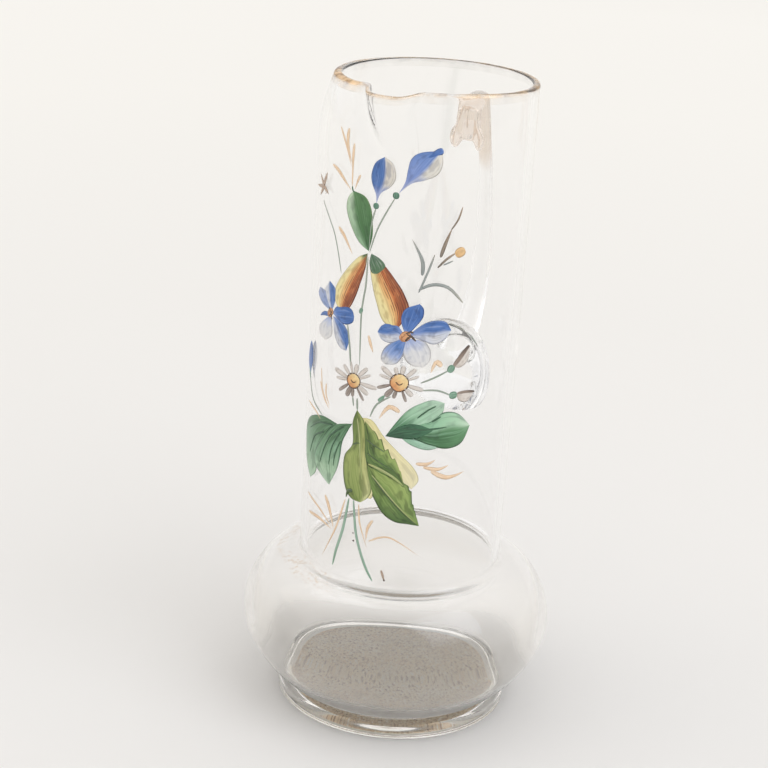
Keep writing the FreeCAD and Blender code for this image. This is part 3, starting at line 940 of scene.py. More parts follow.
def blade_spots(left, right, rows, lanes, teeth):
    """Rows of spots between two edges: place on the unrolled neck, rise, share across and share along."""
    widest = max((a - b).length for a, b in zip(left, right))
    dome = min(enamel_height, widest * enamel_height_share)
    grid = []
    for row in range(rows + 1):
        along = half_turn_share(row / rows)
        start, _ = point_at(left, along)
        end, _ = point_at(right, along)
        if teeth:
            count, depth = teeth
            bite = (along * count) % 1 * depth * math.sin(math.pi * along) ** 0.5
            end = end.lerp(start, bite)
        width_share = min(1.0, (end - start).length / widest * 2)
        spots = []
        for lane in range(lanes + 1):
            across = lane / lanes
            rise = dome * width_share * math.sqrt(max(0.0, 1 - (2 * across - 1) ** 2))
            spots.append((start.lerp(end, across), rise, across, along))
        grid.append(spots)
    return grid


def paint_blade(bm, left_edge, right_edge, layer, teeth, number):
    """Closed lens-shaped patch between two edges that meet at the base and the tip."""
    brush = bm.loops.layers.uv["brush"]
    stroke_place = bm.loops.layers.uv["stroke"]
    left = flat_line(left_edge, edge_steps)
    right = flat_line(right_edge, edge_steps)
    length = max(sum((b - a).length for a, b in zip(line, line[1:])) for line in (left, right))
    widest = max((a - b).length for a, b in zip(left, right))
    fewest, most = row_limits
    rows = max(fewest, min(most, round(length / (toothed_row_length if teeth else row_length))))
    fewest, most = lane_limits
    lanes = max(fewest, min(most, round(widest / lane_width)))
    grid = blade_spots(left, right, rows, lanes, teeth)
    middle = edge_steps // 2
    ahead = left[middle + edge_steps // 8] - left[middle - edge_steps // 8]
    outward = (right[middle] - left[middle]).cross(ahead).z > 0
    made = {}

    def vert(row, lane, flat):
        """Vertex of the domed or the flat side; both sides share their edges, base and tip."""
        if row in (0, rows):
            key = row
        elif lane in (0, lanes):
            key = (row, lane)
        else:
            key = (row, lane, flat)
        if key not in made:
            spot, rise, _, _ = grid[row][lane]
            if row in (0, rows):
                spot = (grid[row][0][0] + grid[row][lanes][0]) / 2
                rise = 0
            made[key] = bm.verts.new(on_neck(spot.x, spot.y, layer * layer_step + (0 if flat else rise)))
        return made[key]

    for flat in (False, True):
        for row in range(rows):
            for lane in range(lanes):
                corners = {}
                for place in ((row, lane), (row, lane + 1), (row + 1, lane + 1), (row + 1, lane)):
                    corners.setdefault(vert(*place, flat), place)
                verts = list(corners)
                if outward == flat:
                    verts.reverse()
                for loop in bm.faces.new(verts).loops:
                    at_row, at_lane = corners[loop.vert]
                    loop[brush].uv = grid[at_row][at_lane][2:]
                    loop[stroke_place].uv = (number * noise_step % noise_span, 0)


def blade(paint, base, left, right, tip, layer=0, teeth=None):
    """Stroke between two edges from its base to its tip. Teeth are their number and their depth."""
    return paint, (base, *left, tip), (base, *right, tip), layer, teeth


def stroke(paint, form, points, half_width, layer=0):
    """Stroke along a middle line in one of the forms."""
    return paint, *drawn_edges(form, points, half_width), layer, None


def dab(paint, place, radius, layer=0):
    """Round spot of paint."""
    across, up = place
    return stroke(paint, "oval", ((across, up - radius), place, (across, up + radius)), radius, layer)


def painted_piece(name, strokes, palette, replaced):
    """One motif from its strokes, each with its paint, both edges, its layer and its teeth."""
    bm = bmesh.new()
    bm.loops.layers.uv.new("brush")
    bm.loops.layers.uv.new("stroke")
    used = list(dict.fromkeys(paint for paint, *_ in strokes))
    for number, (paint, left, right, layer, teeth) in enumerate(strokes):
        before = len(bm.faces)
        paint_blade(bm, left, right, layer, teeth, number)
        bm.faces.ensure_lookup_table()
        for face in bm.faces[before:]:
            face.material_index = used.index(paint)
    piece = make_piece(name, bm, palette[used[0]], replaced)
    for paint in used[1:]:
        piece.data.materials.append(palette[paint])
    return piece


# Paints


def blue_paints():
    """Cobalt enamel, let down with white for shaded petals and buds."""
    return {
        "blue": painted_enamel(
            "cobalt_blue_enamel", {0: "9fb2dc", 0.22: "5279bc", 0.6: "3d67aa", 1: "4872b5"},
            streak_tone="9fb6e2", rim=("2c4f8e", 0.1, 0.7)),
        "blue_over_white": painted_enamel(
            "cobalt_over_white_enamel", {0: "8fa4d6", 0.3: "466fb0", 1: "4873b6"},
            second={0: "c3cade", 0.5: "d5d6da", 1: "c6cede"}, mask_range=(0.42, 0.74), streak_tone="bccbea",
            rim=("9aa9cc", 0.08, 0.5)),
        "blue_to_white": painted_enamel(
            "cobalt_fading_to_white_enamel",
            {0: "7f97d0", 0.25: "4c77b8", 0.5: "8ba1d0", 0.72: "d2d3d6", 1: "d9d6d2"}, streak_tone="b9c7e6",
            rim=("c9c7c6", 0.12, 0.5)),
        "white": painted_enamel(
            "opal_white_enamel", {0: "8298cd", 0.22: "b0bcdc", 0.42: "d6d7da", 1: "e4e1dd"}, streak=0.35,
            streak_tone="eeecea", shade_tone="c2c6d2", rim=("bfbcb9", 0.1, 0.6)),
        "lilac": painted_enamel(
            "pale_cobalt_enamel", {0: "9db0da", 0.4: "8ea4d4", 1: "b7c2e0"}, streak=0.5,
            streak_tone="d8dff0", fade=(0.75, 0.5)),
        "bud_blue": painted_enamel(
            "shaded_bud_enamel", {0: "b5bad8", 0.24: "8f9fce", 0.42: "4b72b0", 0.8: "4069a8", 1: "6f8ec0"},
            second={0: "b8bcd6", 0.24: "a4b0d4", 0.45: "d6d0c4", 1: "dfd8ca"}, mask_range=(0.46, 0.66),
            streak_tone="a9bbe4", shade_tone="7480a8"),
        "bud_blue_soft": painted_enamel(
            "pale_shaded_bud_enamel", {0: "a9b0d4", 0.25: "7d92ca", 0.45: "7b93cc", 1: "527ab8"},
            second={0: "b3b8d6", 0.3: "a9b4d4", 0.5: "dcd8ce", 1: "e6e1d6"}, mask_range=(0.5, 0.7),
            streak=0.35, streak_tone="b7c5e6"),
    }


def green_paints():
    """Chrome and copper greens, dark where the brush was full and minty where it ran thin."""
    return {
        "upper_leaf": painted_enamel(
            "leaf_green_enamel", {0: "35603a", 0.3: "41703f", 0.65: "4f7a4a", 1: "4f7c4a"},
            second={0: "7fa982", 1: "c9dec0"}, mask_range=(0.52, 0.84), streak=0.35, streak_tone="84ab83",
            rim=("93a871", 0.05, 0.6)),
        "mint": painted_enamel(
            "mint_green_enamel", {0: "3a6a49", 0.22: "528660", 0.45: "9cc5a4", 1: "bddcc2"}, streak=0.3,
            streak_tone="cbe3d3", fade=(0.95, 0.72)),
        "mint_wash": painted_enamel(
            "thin_mint_enamel", {0: "8fbf9f", 1: "b3d6c0"}, streak=0.2, streak_tone="cfe6d8",
            fade=(0.8, 0.6)),
        "deep_green": painted_enamel(
            "deep_green_enamel", {0: "27503a", 0.4: "2f5c40", 0.8: "3a6b4c", 1: "5b8c6a"}, streak=0.35,
            streak_tone="6d9c79"),
        "green_lobe": painted_enamel(
            "two_green_enamel", {0: "4b8058", 0.4: "90bf9a", 0.8: "aacfae", 1: "d0e2cc"},
            second={0: "2f5c3c", 0.5: "44744a", 0.85: "5c8c60", 1: "93b994"}, mask_range=(0.36, 0.6),
            streak=0.35, streak_tone="9bc6a9", rim=("2f5b40", 0.05, 0.7)),
        "drooping_leaf": painted_enamel(
            "green_to_mint_enamel",
            {0: "436c46", 0.32: "557f57", 0.56: "7fa684", 0.78: "b0cfae", 1: "c4dfc4"}, streak=0.5,
            streak_tone="8ebb9d", shade_tone="6d8a78", rim=("4b7d60", 0.06, 0.6), fade=(0.97, 0.8)),
        "vein": painted_enamel("dark_vein_enamel", {0: "2b5138", 1: "3f6a4a"}, streak=0.1),
        "green_dot": painted_enamel("bottle_green_enamel", {0: "4a7460", 1: "5f8c74"}, streak=0.15),
        "calyx": painted_enamel(
            "calyx_green_enamel", {0: "86aa94", 0.6: "6f9a80", 1: "5f8a70"}, streak=0.3),
        "stem_green": painted_enamel(
            "stem_green_enamel", {0: "a4aa9c", 0.5: "95a292", 1: "8b9c8a"}, streak=0.2),
        "stem_thick": painted_enamel(
            "thick_stem_enamel", {0: "86a78f", 0.5: "9dbba6", 0.8: "86ab90", 1: "98c0a4"}, streak=0.3,
            streak_tone="b7d3c1"),
    }


def olive_paints():
    """Olive and straw greens of the big middle leaf."""
    return {
        "olive_smooth": painted_enamel(
            "olive_green_enamel",
            {0: "566c30", 0.22: "728643", 0.45: "9aa860", 0.7: "869850", 0.85: "70863f", 1: "b0bb78"},
            second={0: "8c9c50", 0.3: "b4b872", 0.7: "c2c586", 1: "d4d6a0"}, mask_range=(0.5, 0.9),
            streak=0.5, streak_tone="b4b877", shade_tone="6f7a54", rim=("4f6530", 0.1, 0.85)),
        "olive_serrated": painted_enamel(
            "dark_olive_enamel", {0: "5a7032", 0.3: "4f6a34", 0.6: "5f7f40", 0.8: "526f36", 1: "6c8c48"},
            second={0: "a0ad68", 0.5: "92a85c", 1: "a6b86e"}, mask_range=(0.45, 0.95), streak=0.6,
            streak_tone="9aac60", shade_tone="66704e", rim=("48602c", 0.06, 0.7)),
        "olive_lobe": painted_enamel(
            "leaf_olive_enamel", {0: "5f7838", 0.3: "6f8c44", 0.6: "55743a", 0.85: "3f5f2c", 1: "47682f"},
            second={0: "8aa052", 0.4: "9cb064", 0.75: "86a058", 1: "7c9850"}, mask_range=(0.4, 0.62),
            streak=0.55, streak_tone="a4b46a", shade_tone="66704e", rim=("3f5d29", 0.12, 0.9)),
        "olive_light": painted_enamel("light_olive_enamel", {0: "b3b877", 1: "9fb068"}, streak=0.3),
        "olive_dark": painted_enamel("sap_green_enamel", {0: "3a5226", 1: "4b6830"}, streak=0.3),
        "straw": painted_enamel(
            "straw_yellow_enamel", {0: "dcd393", 0.3: "e9dfa8", 1: "f2eac2"}, streak=0.25,
            streak_tone="f3efcf", rim=("c9c07c", 0.05, 0.5), fade=(0.95, 0.8)),
    }


def warm_paints():
    """Yellow, orange, rust and sepia enamels, and thin liquid gold."""
    return {
        "husk": painted_enamel(
            "shaded_husk_enamel", {0: "e9dfaa", 0.24: "eddfa2", 0.4: "e8b878", 0.62: "c9743f", 1: "86402a"},
            by="across", second={0: "4a6a44", 1: "7c8450"}, mask_by="along", mask_range=(0.16, 0.06),
            streak=0.45, streak_tone="efcf8e", shade_tone="a08468", hatch=(13, "5f2e1a", 0.28, 0.55)),
        "cap_green": painted_enamel("cap_green_enamel", {0: "3d6446", 1: "5a7c58"}, streak=0.3),
        "daisy_light": painted_enamel(
            "grey_white_enamel", {0: "b8aaa0", 0.35: "dcd3ca", 1: "ebe5de"}, streak=0.35,
            streak_tone="f0ece9", shade_tone="b4aca6", fade=(0.85, 0.65)),
        "daisy_dark": painted_enamel(
            "shaded_grey_brown_enamel", {0: "75655a", 0.5: "9c8f86", 1: "b3a9a2"}, streak_tone="c9c0b8",
            shade_tone="7c6f66"),
        "daisy_core": painted_enamel(
            "orange_yellow_enamel", {0: "cd8258", 0.35: "dda06a", 0.6: "f0cf94", 1: "f8e2b0"}, streak=0.2,
            streak_tone="f8e3a8"),
        "flower_core": painted_enamel(
            "orange_brown_enamel", {0: "c98860", 0.5: "d9a070", 1: "b8835e"}, streak=0.5,
            streak_tone="e9c9a8", shade_tone="7c5c48"),
        "sepia": painted_enamel("sepia_outline_enamel", {0: "4a3527", 1: "5b4433"}, streak=0.1),
        "brown": painted_enamel(
            "grey_brown_enamel", {0: "a8988c", 0.5: "8c7b6e", 0.85: "57493f", 1: "3f362f"},
            streak_tone="b8aba0"),
        "faded_brown": painted_enamel(
            "faded_gilt_brown_enamel", {0: "b89a86", 1: "d9c0a6"}, streak=0.5, streak_tone="ead9c6",
            fade=(0.55, 0.3)),
        "gilt": painted_enamel(
            "thin_liquid_gold", {0: "fae4c8", 0.5: "f8d8b2", 1: "fbe8d0"}, streak_tone="fdf2e2",
            shade_tone="f2dcc0", fade=(0.55, 0.3)),
        "grey": painted_enamel(
            "grey_green_enamel", {0: "8f9796", 0.6: "a3aaa6", 1: "c6bfac"}, streak=0.35,
            streak_tone="d2d4d0", fade=(0.8, 0.55)),
        "grey_brown_twig": painted_enamel(
            "brown_twig_enamel", {0: "6f6a60", 0.5: "8f7d68", 1: "c4a684"}, streak=0.35, fade=(0.85, 0.5)),
        "ochre": painted_enamel(
            "ochre_enamel", {0: "e3b377", 1: "eecb98"}, streak=0.25, streak_tone="f6e0b4", fade=(0.9, 0.8)),
    }


def daisy(centre, core, reach, stretch, count, dark_from, dark_to):
    """Petals all round a domed core, its sepia outline in short dabs and a curl on top. Sines of their number
    make the petals uneven; the stretch is what they reach further at the sides, and they are shaded between
    two angles from the top."""
    x, z = centre
    near = core * 0.8
    strokes = []
    for index in range(count):
        turn = 2 * math.pi * (index + 0.4 + 0.16 * math.sin(2.3 * index)) / count
        away = Vector((math.sin(turn), math.cos(turn)))
        far = reach * (0.95 + 0.12 * math.sin(2.7 * index)) + stretch * abs(away.x) ** 1.5
        half_width = petal_half_width * (0.85 + 0.25 * math.sin(1.9 * index + 1))
        paint = "daisy_dark" if dark_from < math.degrees(turn) % 360 < dark_to else "daisy_light"
        root = (x + near * away.x, z + near * away.y)
        tip = (x + far * away.x, z + far * away.y)
        strokes.append(stroke(paint, "petal", (root, tip), half_width))
    for index in range(count):
        turn = 2 * math.pi * index / count
        middle = Vector((math.sin(turn), math.cos(turn))) * (core + 0.1)
        aside = Vector((math.cos(turn), -math.sin(turn))) * core * 0.27
        start = (x + middle.x - aside.x, z + middle.y - aside.y)
        end = (x + middle.x + aside.x, z + middle.y + aside.y)
        strokes.append(stroke("sepia", "line", (start, end), outline_half_width, 1))
    half = core * 0.98
    fill = ((x - half * 0.7, z - half * 0.7), (x + half * 0.7, z + half * 0.7))
    strokes.append(stroke("daisy_core", "oval", fill, half, 2))
    curl = ((x - core * 0.4, z + core * 0.1), (x, z - core * 0.25), (x + core * 0.4, z))
    strokes.append(stroke("sepia", "line", curl, outline_half_width, 7))
    return strokes


# Motifs by CAD node, from the rim down

# Buds, leaf and husks, the two blue flowers and what is beside them
UPPER_MOTIFS = {
    "bud_left": (
        blade("bud_blue", (-1.6, 209.5), ((-1.9, 213), (-3.6, 216.5), (-4.2, 220), (-2.8, 224.4)),
              ((0, 213.8), (3.3, 216.3), (5.3, 220), (4, 224.8)), (0.6, 226.9)),
        dab("green_dot", (-1.6, 208.9), 1.15, 1),
    ),
    "bud_right": (
        blade("bud_blue_soft", (6.6, 214.6), ((8.7, 218.9), (9.4, 223.5), (10.4, 227.5), (13.7, 229.9)),
              ((11, 218.6), (15.6, 220.1), (19.9, 222.3), (21.5, 226.2)), (20.8, 230.9)),
        stroke("blue", "leaf", ((21.3, 231), (19, 230), (15.8, 228)), 1.3, 2),
        dab("green_dot", (5.7, 213.7), 1.25, 1),
    ),
    "upper_leaf": (
        blade("upper_leaf", (-3.5, 192), ((-2.3, 197.7), (-2.6, 202.9), (-3.6, 208), (-6.3, 211.6)),
              ((-7.9, 194.6), (-11.9, 199.8), (-14.4, 205.2), (-14, 209.6)), (-11.6, 212.6)),
        stroke("vein", "line", ((-11.4, 212.2), (-12, 213), (-12.2, 214.2)), 0.35, 1),
    ),
    "sheath_left": (
        blade("husk", (-3.8, 191.1), ((-7.9, 188.8), (-13.2, 182.8), (-17.6, 176.1), (-18.3, 171)),
              ((-4.4, 185.4), (-6.1, 179.6), (-7.8, 174.3), (-10.4, 169.2)), (-14.8, 166.2)),
    ),
    "sheath_right": (
        blade("husk", (-2.2, 190.9), ((-2.6, 186.4), (-0.9, 178.6), (0.9, 173.2), (3.4, 167.4)),
              ((2.8, 188), (7.3, 183.2), (11, 178), (13, 171.6)), (8.4, 163.6)),
        blade("cap_green", (-2.3, 191.3), ((-2.9, 188), (-1.8, 184.4)), ((1.2, 190), (3.4, 187.4)),
              (0.6, 184.2), 3),
    ),
    "flower_left": (
        blade("lilac", (-20, 165.6), ((-26, 166.6), (-30, 169.4)), ((-21.6, 169.1), (-24.4, 171.9)),
              (-28.9, 172.2)),
        blade("blue_over_white", (-19.4, 165.6), ((-17.8, 170.2), (-17.9, 174.3)),
              ((-22.8, 168.7), (-24.3, 172.5)), (-21.7, 176.6), 1),
        blade("blue", (-18.9, 165), ((-17.1, 167.8), (-12.9, 169.5), (-9.2, 168.8)),
              ((-14.8, 162.9), (-11.4, 162.5), (-8.5, 164.1)), (-8, 166.4), 2),
        blade("blue_over_white", (-18.5, 164), ((-13.8, 163), (-10.9, 160.6), (-9.7, 157.1)),
              ((-17.6, 158.5), (-15.8, 154.8), (-13.3, 152.9)), (-10.8, 152.6), 1),
        blade("white", (-20, 163.8), ((-24, 161), (-27.6, 157.4), (-26.4, 154.4)),
              ((-18.9, 160.1), (-18.9, 156.3)), (-22.6, 153.4)),
        stroke("blue", "leaf", ((-20.6, 163.8), (-24.2, 163.4), (-27.4, 161.6)), 0.9, 2),
        stroke("flower_core", "oval", ((-21.6, 163.2), (-18.9, 166.4)), 1.5, 4),
        stroke("sepia", "line", ((-20.9, 166.6), (-19.7, 164.6), (-19, 162.4)), 0.3, 6),
        stroke("sepia", "line", ((-18.9, 166), (-20, 164.2), (-21.4, 163)), 0.3, 6),
    ),
    "flower_right": (
        blade("blue_over_white", (12.4, 162.2), ((8.9, 166.6), (6.1, 166.9), (3.2, 165.2)),
              ((9.5, 160.3), (6.6, 159.2), (3.7, 160.1)), (1.9, 162.7), 1),
        blade("blue_to_white", (12.6, 161.8), ((8.2, 160), (4.9, 157.1), (3.7, 153.1)),
              ((12.3, 157), (11.1, 153.4), (9.1, 151.3)), (5.4, 150.8)),
        blade("blue_over_white", (13.2, 162.8), ((18.5, 167.4), (22.9, 168.9), (26.8, 168.3)),
              ((18.9, 161), (22.9, 159.8), (26.9, 161.8)), (29, 165.1), 1),
        blade("white", (13.2, 161.6), ((11.7, 157), (12.7, 153.6), (15.3, 151.5)),
              ((19.1, 160.9), (21.7, 157.5), (21.8, 153.8)), (19.6, 150.9)),
        blade("blue", (12.6, 162.2), ((10.8, 166.4), (10, 169.7), (11.7, 172.8)),
              ((15.5, 165.8), (18.2, 169.7), (18.3, 173.1)), (16.7, 174.9), 2),
        stroke("flower_core", "oval", ((10.4, 161), (14, 163.6)), 1.9, 4),
        stroke("sepia", "line", ((12.8, 163.2), (14.6, 162.4), (16.2, 160.8)), 0.4, 6),
        stroke("sepia", "line", ((12.4, 160.6), (13.2, 161.8), (14.2, 162.6)), 0.4, 6),
        stroke("sepia", "line", ((12.4, 163.4), (14.2, 164.2), (15.2, 163.8)), 0.35, 6),
    ),
    "side_flower": (
        stroke("faded_brown", "leaf", ((-30, 210), (-34.2, 213.8)), 0.9),
        stroke("faded_brown", "leaf", ((-30, 210), (-33.6, 205.9)), 0.9),
        stroke("faded_brown", "leaf", ((-30.4, 210.4), (-27.4, 215.8)), 1),
        stroke("faded_brown", "leaf", ((-30, 210), (-25.8, 208.2)), 0.9),
        stroke("faded_brown", "leaf", ((-30.6, 209.8), (-38, 208.6)), 0.7),
    ),
    "grey_sprig": (
        stroke("grey", "leaf", ((16.9, 185.5), (16.6, 191), (12.4, 198.7)), 0.7),
        stroke("grey", "line", ((16, 179), (18.9, 187), (20.9, 193.5)), 0.4),
        stroke("grey", "line", ((16, 180.1), (20.7, 182.2), (26.7, 181.2), (32.8, 175.2)), 0.6),
        stroke("grey_brown_twig", "leaf", ((23, 192.4), (24.5, 197.7), (26.6, 203.4)), 0.7),
        stroke("grey_brown_twig", "line", ((26.2, 202.6), (28.6, 206.4), (29.9, 211)), 0.35),
        stroke("grey_brown_twig", "line", ((22.2, 188.6), (25.2, 191.7), (28.4, 194)), 0.45),
        stroke("grey", "line", ((24.2, 189.6), (27.8, 191.2)), 0.3),
        stroke("ochre", "oval", ((28.4, 193.3), (32, 195.2)), 1.9, 1),
    ),
}

# Daisies, their buds, the leaves and the side petal
LOWER_MOTIFS = {
    "daisy_left": daisy((-6.7, 142), 2.75, 7, 2.3, 13, 130, 235),
    "daisy_right": daisy((11.2, 144.4), 3.3, 7, 2, 12, 150, 250),
    "daisy_bud_upper": (
        blade("daisy_light", (30.6, 151), ((31.8, 153.4), (34, 157)), ((34, 150.6), (36.8, 153.4)),
              (37.4, 158.6)),
        stroke("brown", "line", ((31, 151.2), (33.6, 154.6), (36.8, 158.9)), 1, 2),
        stroke("calyx", "oval", ((29.2, 148.9), (30.8, 151.6)), 1.45, 3),
    ),
    "daisy_bud_lower": (
        blade("daisy_light", (32.8, 140.2), ((36.4, 141),), ((34.4, 137.4), (38, 136.9)), (40.4, 140.2)),
        stroke("brown", "line", ((33.2, 140.5), (36.8, 140.8), (40.8, 140.4)), 0.6, 2),
        stroke("calyx", "oval", ((30, 139.9), (33.2, 140)), 1.5, 3),
    ),
    "side_petal": (
        blade("blue", (-35.4, 135.2), ((-39.8, 140.2), (-38.4, 146)), ((-33, 141.5), (-33.4, 146.6)),
              (-35.6, 149)),
    ),
    "leaf_left": (
        blade("drooping_leaf", (-13.2, 123.2),
              ((-21.9, 123.6), (-31.8, 119.9), (-37, 114), (-36.4, 106.3), (-34.4, 100.6)),
              ((-17.1, 120), (-20.1, 115.7), (-23, 110.8), (-24.2, 105), (-25, 99.6)), (-29.4, 95.6)),
        blade("drooping_leaf", (-6, 125.3),
              ((-14.2, 122.5), (-20.3, 116.2), (-25.7, 108.8), (-26.6, 103.6), (-22, 100.6)),
              ((-8.2, 121.3), (-10.2, 116.6), (-10.9, 110.7), (-12.4, 104.6)), (-15.9, 97.6), 3),
        stroke("vein", "line", ((-9.5, 123.2), (-16.5, 117.4), (-20.6, 109), (-22, 104.6)), 0.32, 8),
        stroke("vein", "line", ((-11.5, 120.4), (-15.4, 113), (-16.6, 105.6)), 0.28, 8),
        stroke("vein", "line", ((-11, 117), (-13.4, 111.2), (-14, 106)), 0.26, 8),
        stroke("vein", "line", ((-15.4, 122), (-24, 120.2), (-31.6, 115.2)), 0.3, 5),
        stroke("vein", "line", ((-20.4, 117.6), (-27, 113.6), (-30.6, 105.6)), 0.3, 5),
    ),
    "leaf_right": (
        blade("mint_wash", (12.4, 123.6), ((20, 122.4),), ((17, 120.4), (23, 118.6)), (28.4, 119.7)),
        blade("mint", (7.4, 123.2), ((11, 129), (14.6, 133.7), (18.6, 136.5), (23.7, 138.3)),
              ((14.7, 125.1), (20.4, 127.5), (24.8, 130), (28, 133.1)), (28.6, 137), 1),
        blade("green_lobe", (12, 124.4), ((18, 128.4), (24, 130), (28.4, 133.4), (34.2, 132.5)),
              ((18, 122.9), (24.4, 120.4), (30.6, 118.9), (36.6, 120.7)), (39.7, 127.2), 3),
        blade("deep_green", (7.2, 123.1), ((12.4, 127.4), (18, 128.8)), ((14, 122.8), (19.6, 123.4)),
              (25.6, 126.6), 6),
        stroke("vein", "line", ((24, 129.8), (27.4, 131.8)), 0.35, 9),
        stroke("vein", "line", ((18.6, 131.2), (22.4, 134.4), (25.4, 136)), 0.3, 9),
        stroke("vein", "line", ((13.6, 127), (21.6, 126.8), (30, 127.6)), 0.35, 9),
    ),
    "leaf_centre_yellow": (
        blade("straw", (-2.1, 128.6), ((-0.4, 122.8), (3.7, 116.5), (8, 112), (12.8, 106.8)),
              ((2.2, 128.2), (7.2, 122.3), (13.4, 116.5), (18.6, 111.4), (20.7, 106.6)), (18.3, 102.9)),
        stroke("straw", "leaf", ((2.2, 97.2), (3.2, 100.2), (3.9, 103.4)), 1.3),
    ),
    "leaf_centre_left": (
        blade("olive_smooth", (-4.4, 131.2),
              ((-6, 125.8), (-5.5, 117.6), (-8.8, 112), (-9, 104.8), (-7.4, 98.5), (-4.6, 95.5)),
              ((-1.1, 127), (-0.2, 120), (0.9, 114.5), (1.5, 108.8), (3.4, 101.6), (2.2, 97.6)),
              (-0.8, 94.9), 4),
        stroke("olive_dark", "leaf", ((-4.4, 98.6), (-6.2, 98.4), (-7, 95.4)), 0.8, 9),
        stroke("olive_dark", "line", ((-5.2, 117.2), (-3.8, 118.2), (-2.2, 118.4)), 0.28, 9),
        stroke("olive_light", "line", ((-4, 128), (-2.6, 120), (-1.8, 112), (-0.6, 104)), 0.35, 8),
    ),
    "leaf_centre_right": (
        blade("olive_lobe", (0, 113), ((1.6, 103.4), (5, 96.5), (8.4, 91.8), (12.9, 89.2), (17.6, 88.7)),
              ((6.5, 111), (12.8, 109), (17.6, 104.2), (19.4, 97.5), (20.6, 93)), (22.1, 88), 2, (9, 0.07)),
        blade("olive_serrated", (-0.9, 127.6), ((-0.6, 120), (0.4, 111.6), (5, 108.6), (10.4, 106.6)),
              ((3.8, 123.8), (7, 120.8), (10, 116.9), (13.2, 112)), (15.6, 103.6), 5, (6, 0.16)),
        stroke("olive_light", "line", ((1.4, 111), (5.8, 109.8), (11, 107.4), (15.2, 104.2)), 0.55, 9),
        stroke("olive_light", "line", ((3, 107), (8.2, 101.6), (14.4, 95), (21, 89)), 0.3, 8),
        stroke("olive_dark", "line", ((3.4, 106), (8.4, 100.6), (14.2, 94.4), (20.4, 88.9)), 0.24, 8),
        stroke("olive_dark", "line", ((0, 120.6), (3.4, 118.8), (7.6, 116.8)), 0.24, 9),
        stroke("olive_dark", "line", ((0.6, 115.4), (5, 112.8), (11.6, 109.8)), 0.24, 9),
    ),
}


def thin_lines():
    """Stems and gilt grasses: the half width of each line, then its places."""
    stem_lines = (
        (0.32, (-1.6, 208), (-3, 202), (-3.4, 192.2)),
        (0.3, (5.4, 212.8), (-0.2, 201.4), (-3.1, 191.6)),
        (0.36, (-3.6, 190), (-3.9, 178), (-5, 168.6), (-4.5, 148.2)),
        (0.42, (-10.9, 163), (-9.2, 154), (-8.4, 147.2)),
        (0.42, (-4.7, 135.6), (-4.4, 131)),
        (0.34, (-6.7, 135.8), (-6.1, 132.3)),
        (0.36, (8.5, 138.8), (3.3, 134.9), (0.9, 129.5)),
        (0.36, (18.9, 144.8), (24.4, 147.2), (29.4, 149.8)),
        (0.36, (19.6, 142), (25.5, 142), (30.4, 140)),
        (0.36, (-35.1, 135.2), (-30.6, 127.8), (-21.9, 123.7)),
        (0.3, (-29.8, 205), (-20.5, 195), (-15.3, 181)),
    )
    stems = [stroke("stem_green", "line", points, half_width) for half_width, *points in stem_lines]
    stems += [
        stroke("stem_thick", "line", ((-5.8, 95.4), (-7.8, 82.2), (-10.4, 73), (-11.9, 65.6)), 0.6),
        stroke("stem_thick", "line", ((-3.8, 95.2), (-1.8, 81), (2.4, 69.6), (5.8, 63.6)), 0.55),
        stroke("calyx", "oval", ((-5.6, 168.2), (-4.8, 170.4)), 0.8, 1),
        dab("sepia", (-3.2, 81.7), 0.3),
        dab("sepia", (-2.9, 78.6), 0.4),
        stroke("faded_brown", "leaf", ((8.9, 68.8), (9.8, 66.2), (10.3, 64.6)), 0.5),
        dab("sepia", (10.3, 64.8), 0.4, 2),
        stroke("calyx", "leaf", ((3.8, 136.2), (6.3, 139)), 0.75, 1),
        stroke("calyx", "leaf", ((-34.6, 134.2), (-36, 137), (-35.4, 140)), 0.9, 1),
    ]
    grass_lines = (
        (0.45, (-20.6, 234), (-16.4, 228.3), (-13.2, 221)),
        (0.75, (-16, 234.4), (-15.8, 229.6), (-13.2, 222.4)),
        (0.6, (-12.4, 229.6), (-12.6, 224), (-12.3, 217)),
        (0.35, (-12.6, 224), (-12.4, 217), (-12.3, 213)),
        (0.75, (-23.8, 219.6), (-19.8, 218.2), (-15.9, 215.2), (-12.6, 212.5)),
        (0.5, (-8.7, 218.9), (-9.8, 216.6), (-11, 213.1)),
        (0.75, (-18.1, 197.9), (-14.6, 195), (-10.3, 189.3)),
        (0.5, (-31.1, 88.9), (-21, 86), (-13, 80.8)),
        (0.85, (-17.9, 92.8), (-15, 88), (-12.4, 80.6)),
        (0.7, (-29, 81.6), (-20.6, 82), (-13.2, 80.1)),
        (0.42, (-7.4, 94.6), (-11.4, 81.1), (-18.1, 67.1)),
        (0.36, (-1.5, 94), (-0.7, 86.5), (2.9, 76.7)),
        (0.6, (4.5, 88.6), (2.6, 84.9), (2.2, 79.5)),
        (0.36, (3.2, 79.8), (11.3, 82.6), (22.7, 75.8)),
        (0.75, (19.2, 113.2), (23.4, 113), (26.6, 114.7)),
        (0.75, (22, 111.9), (27.7, 110.8), (32.1, 112.3)),
        (0.95, (25.1, 110.2), (31.5, 107.3), (38.8, 108.8)),
        (0.95, (12.1, 133), (8, 134.6), (4.4, 129.4)),
        (1.05, (26.4, 151.2), (24.2, 153), (22.4, 148.7)),
        (0.6, (-24.6, 136.6), (-21.6, 131.3), (-18, 127.5)),
        (0.5, (-20.6, 137), (-20.4, 132.5), (-17.8, 128.8)),
        (0.6, (-1.6, 160.7), (-0.4, 157.2), (0.7, 154.4)),
        (0.45, (-35.2, 125), (-27, 123.6), (-21.7, 120.9)),
        (0.3, (-24.4, 142), (-23.6, 137), (-22.6, 133)),
    )
    grasses = [stroke("gilt", "leaf", points, half_width) for half_width, *points in grass_lines]
    return {"stems": stems, "gilt_grasses": grasses}


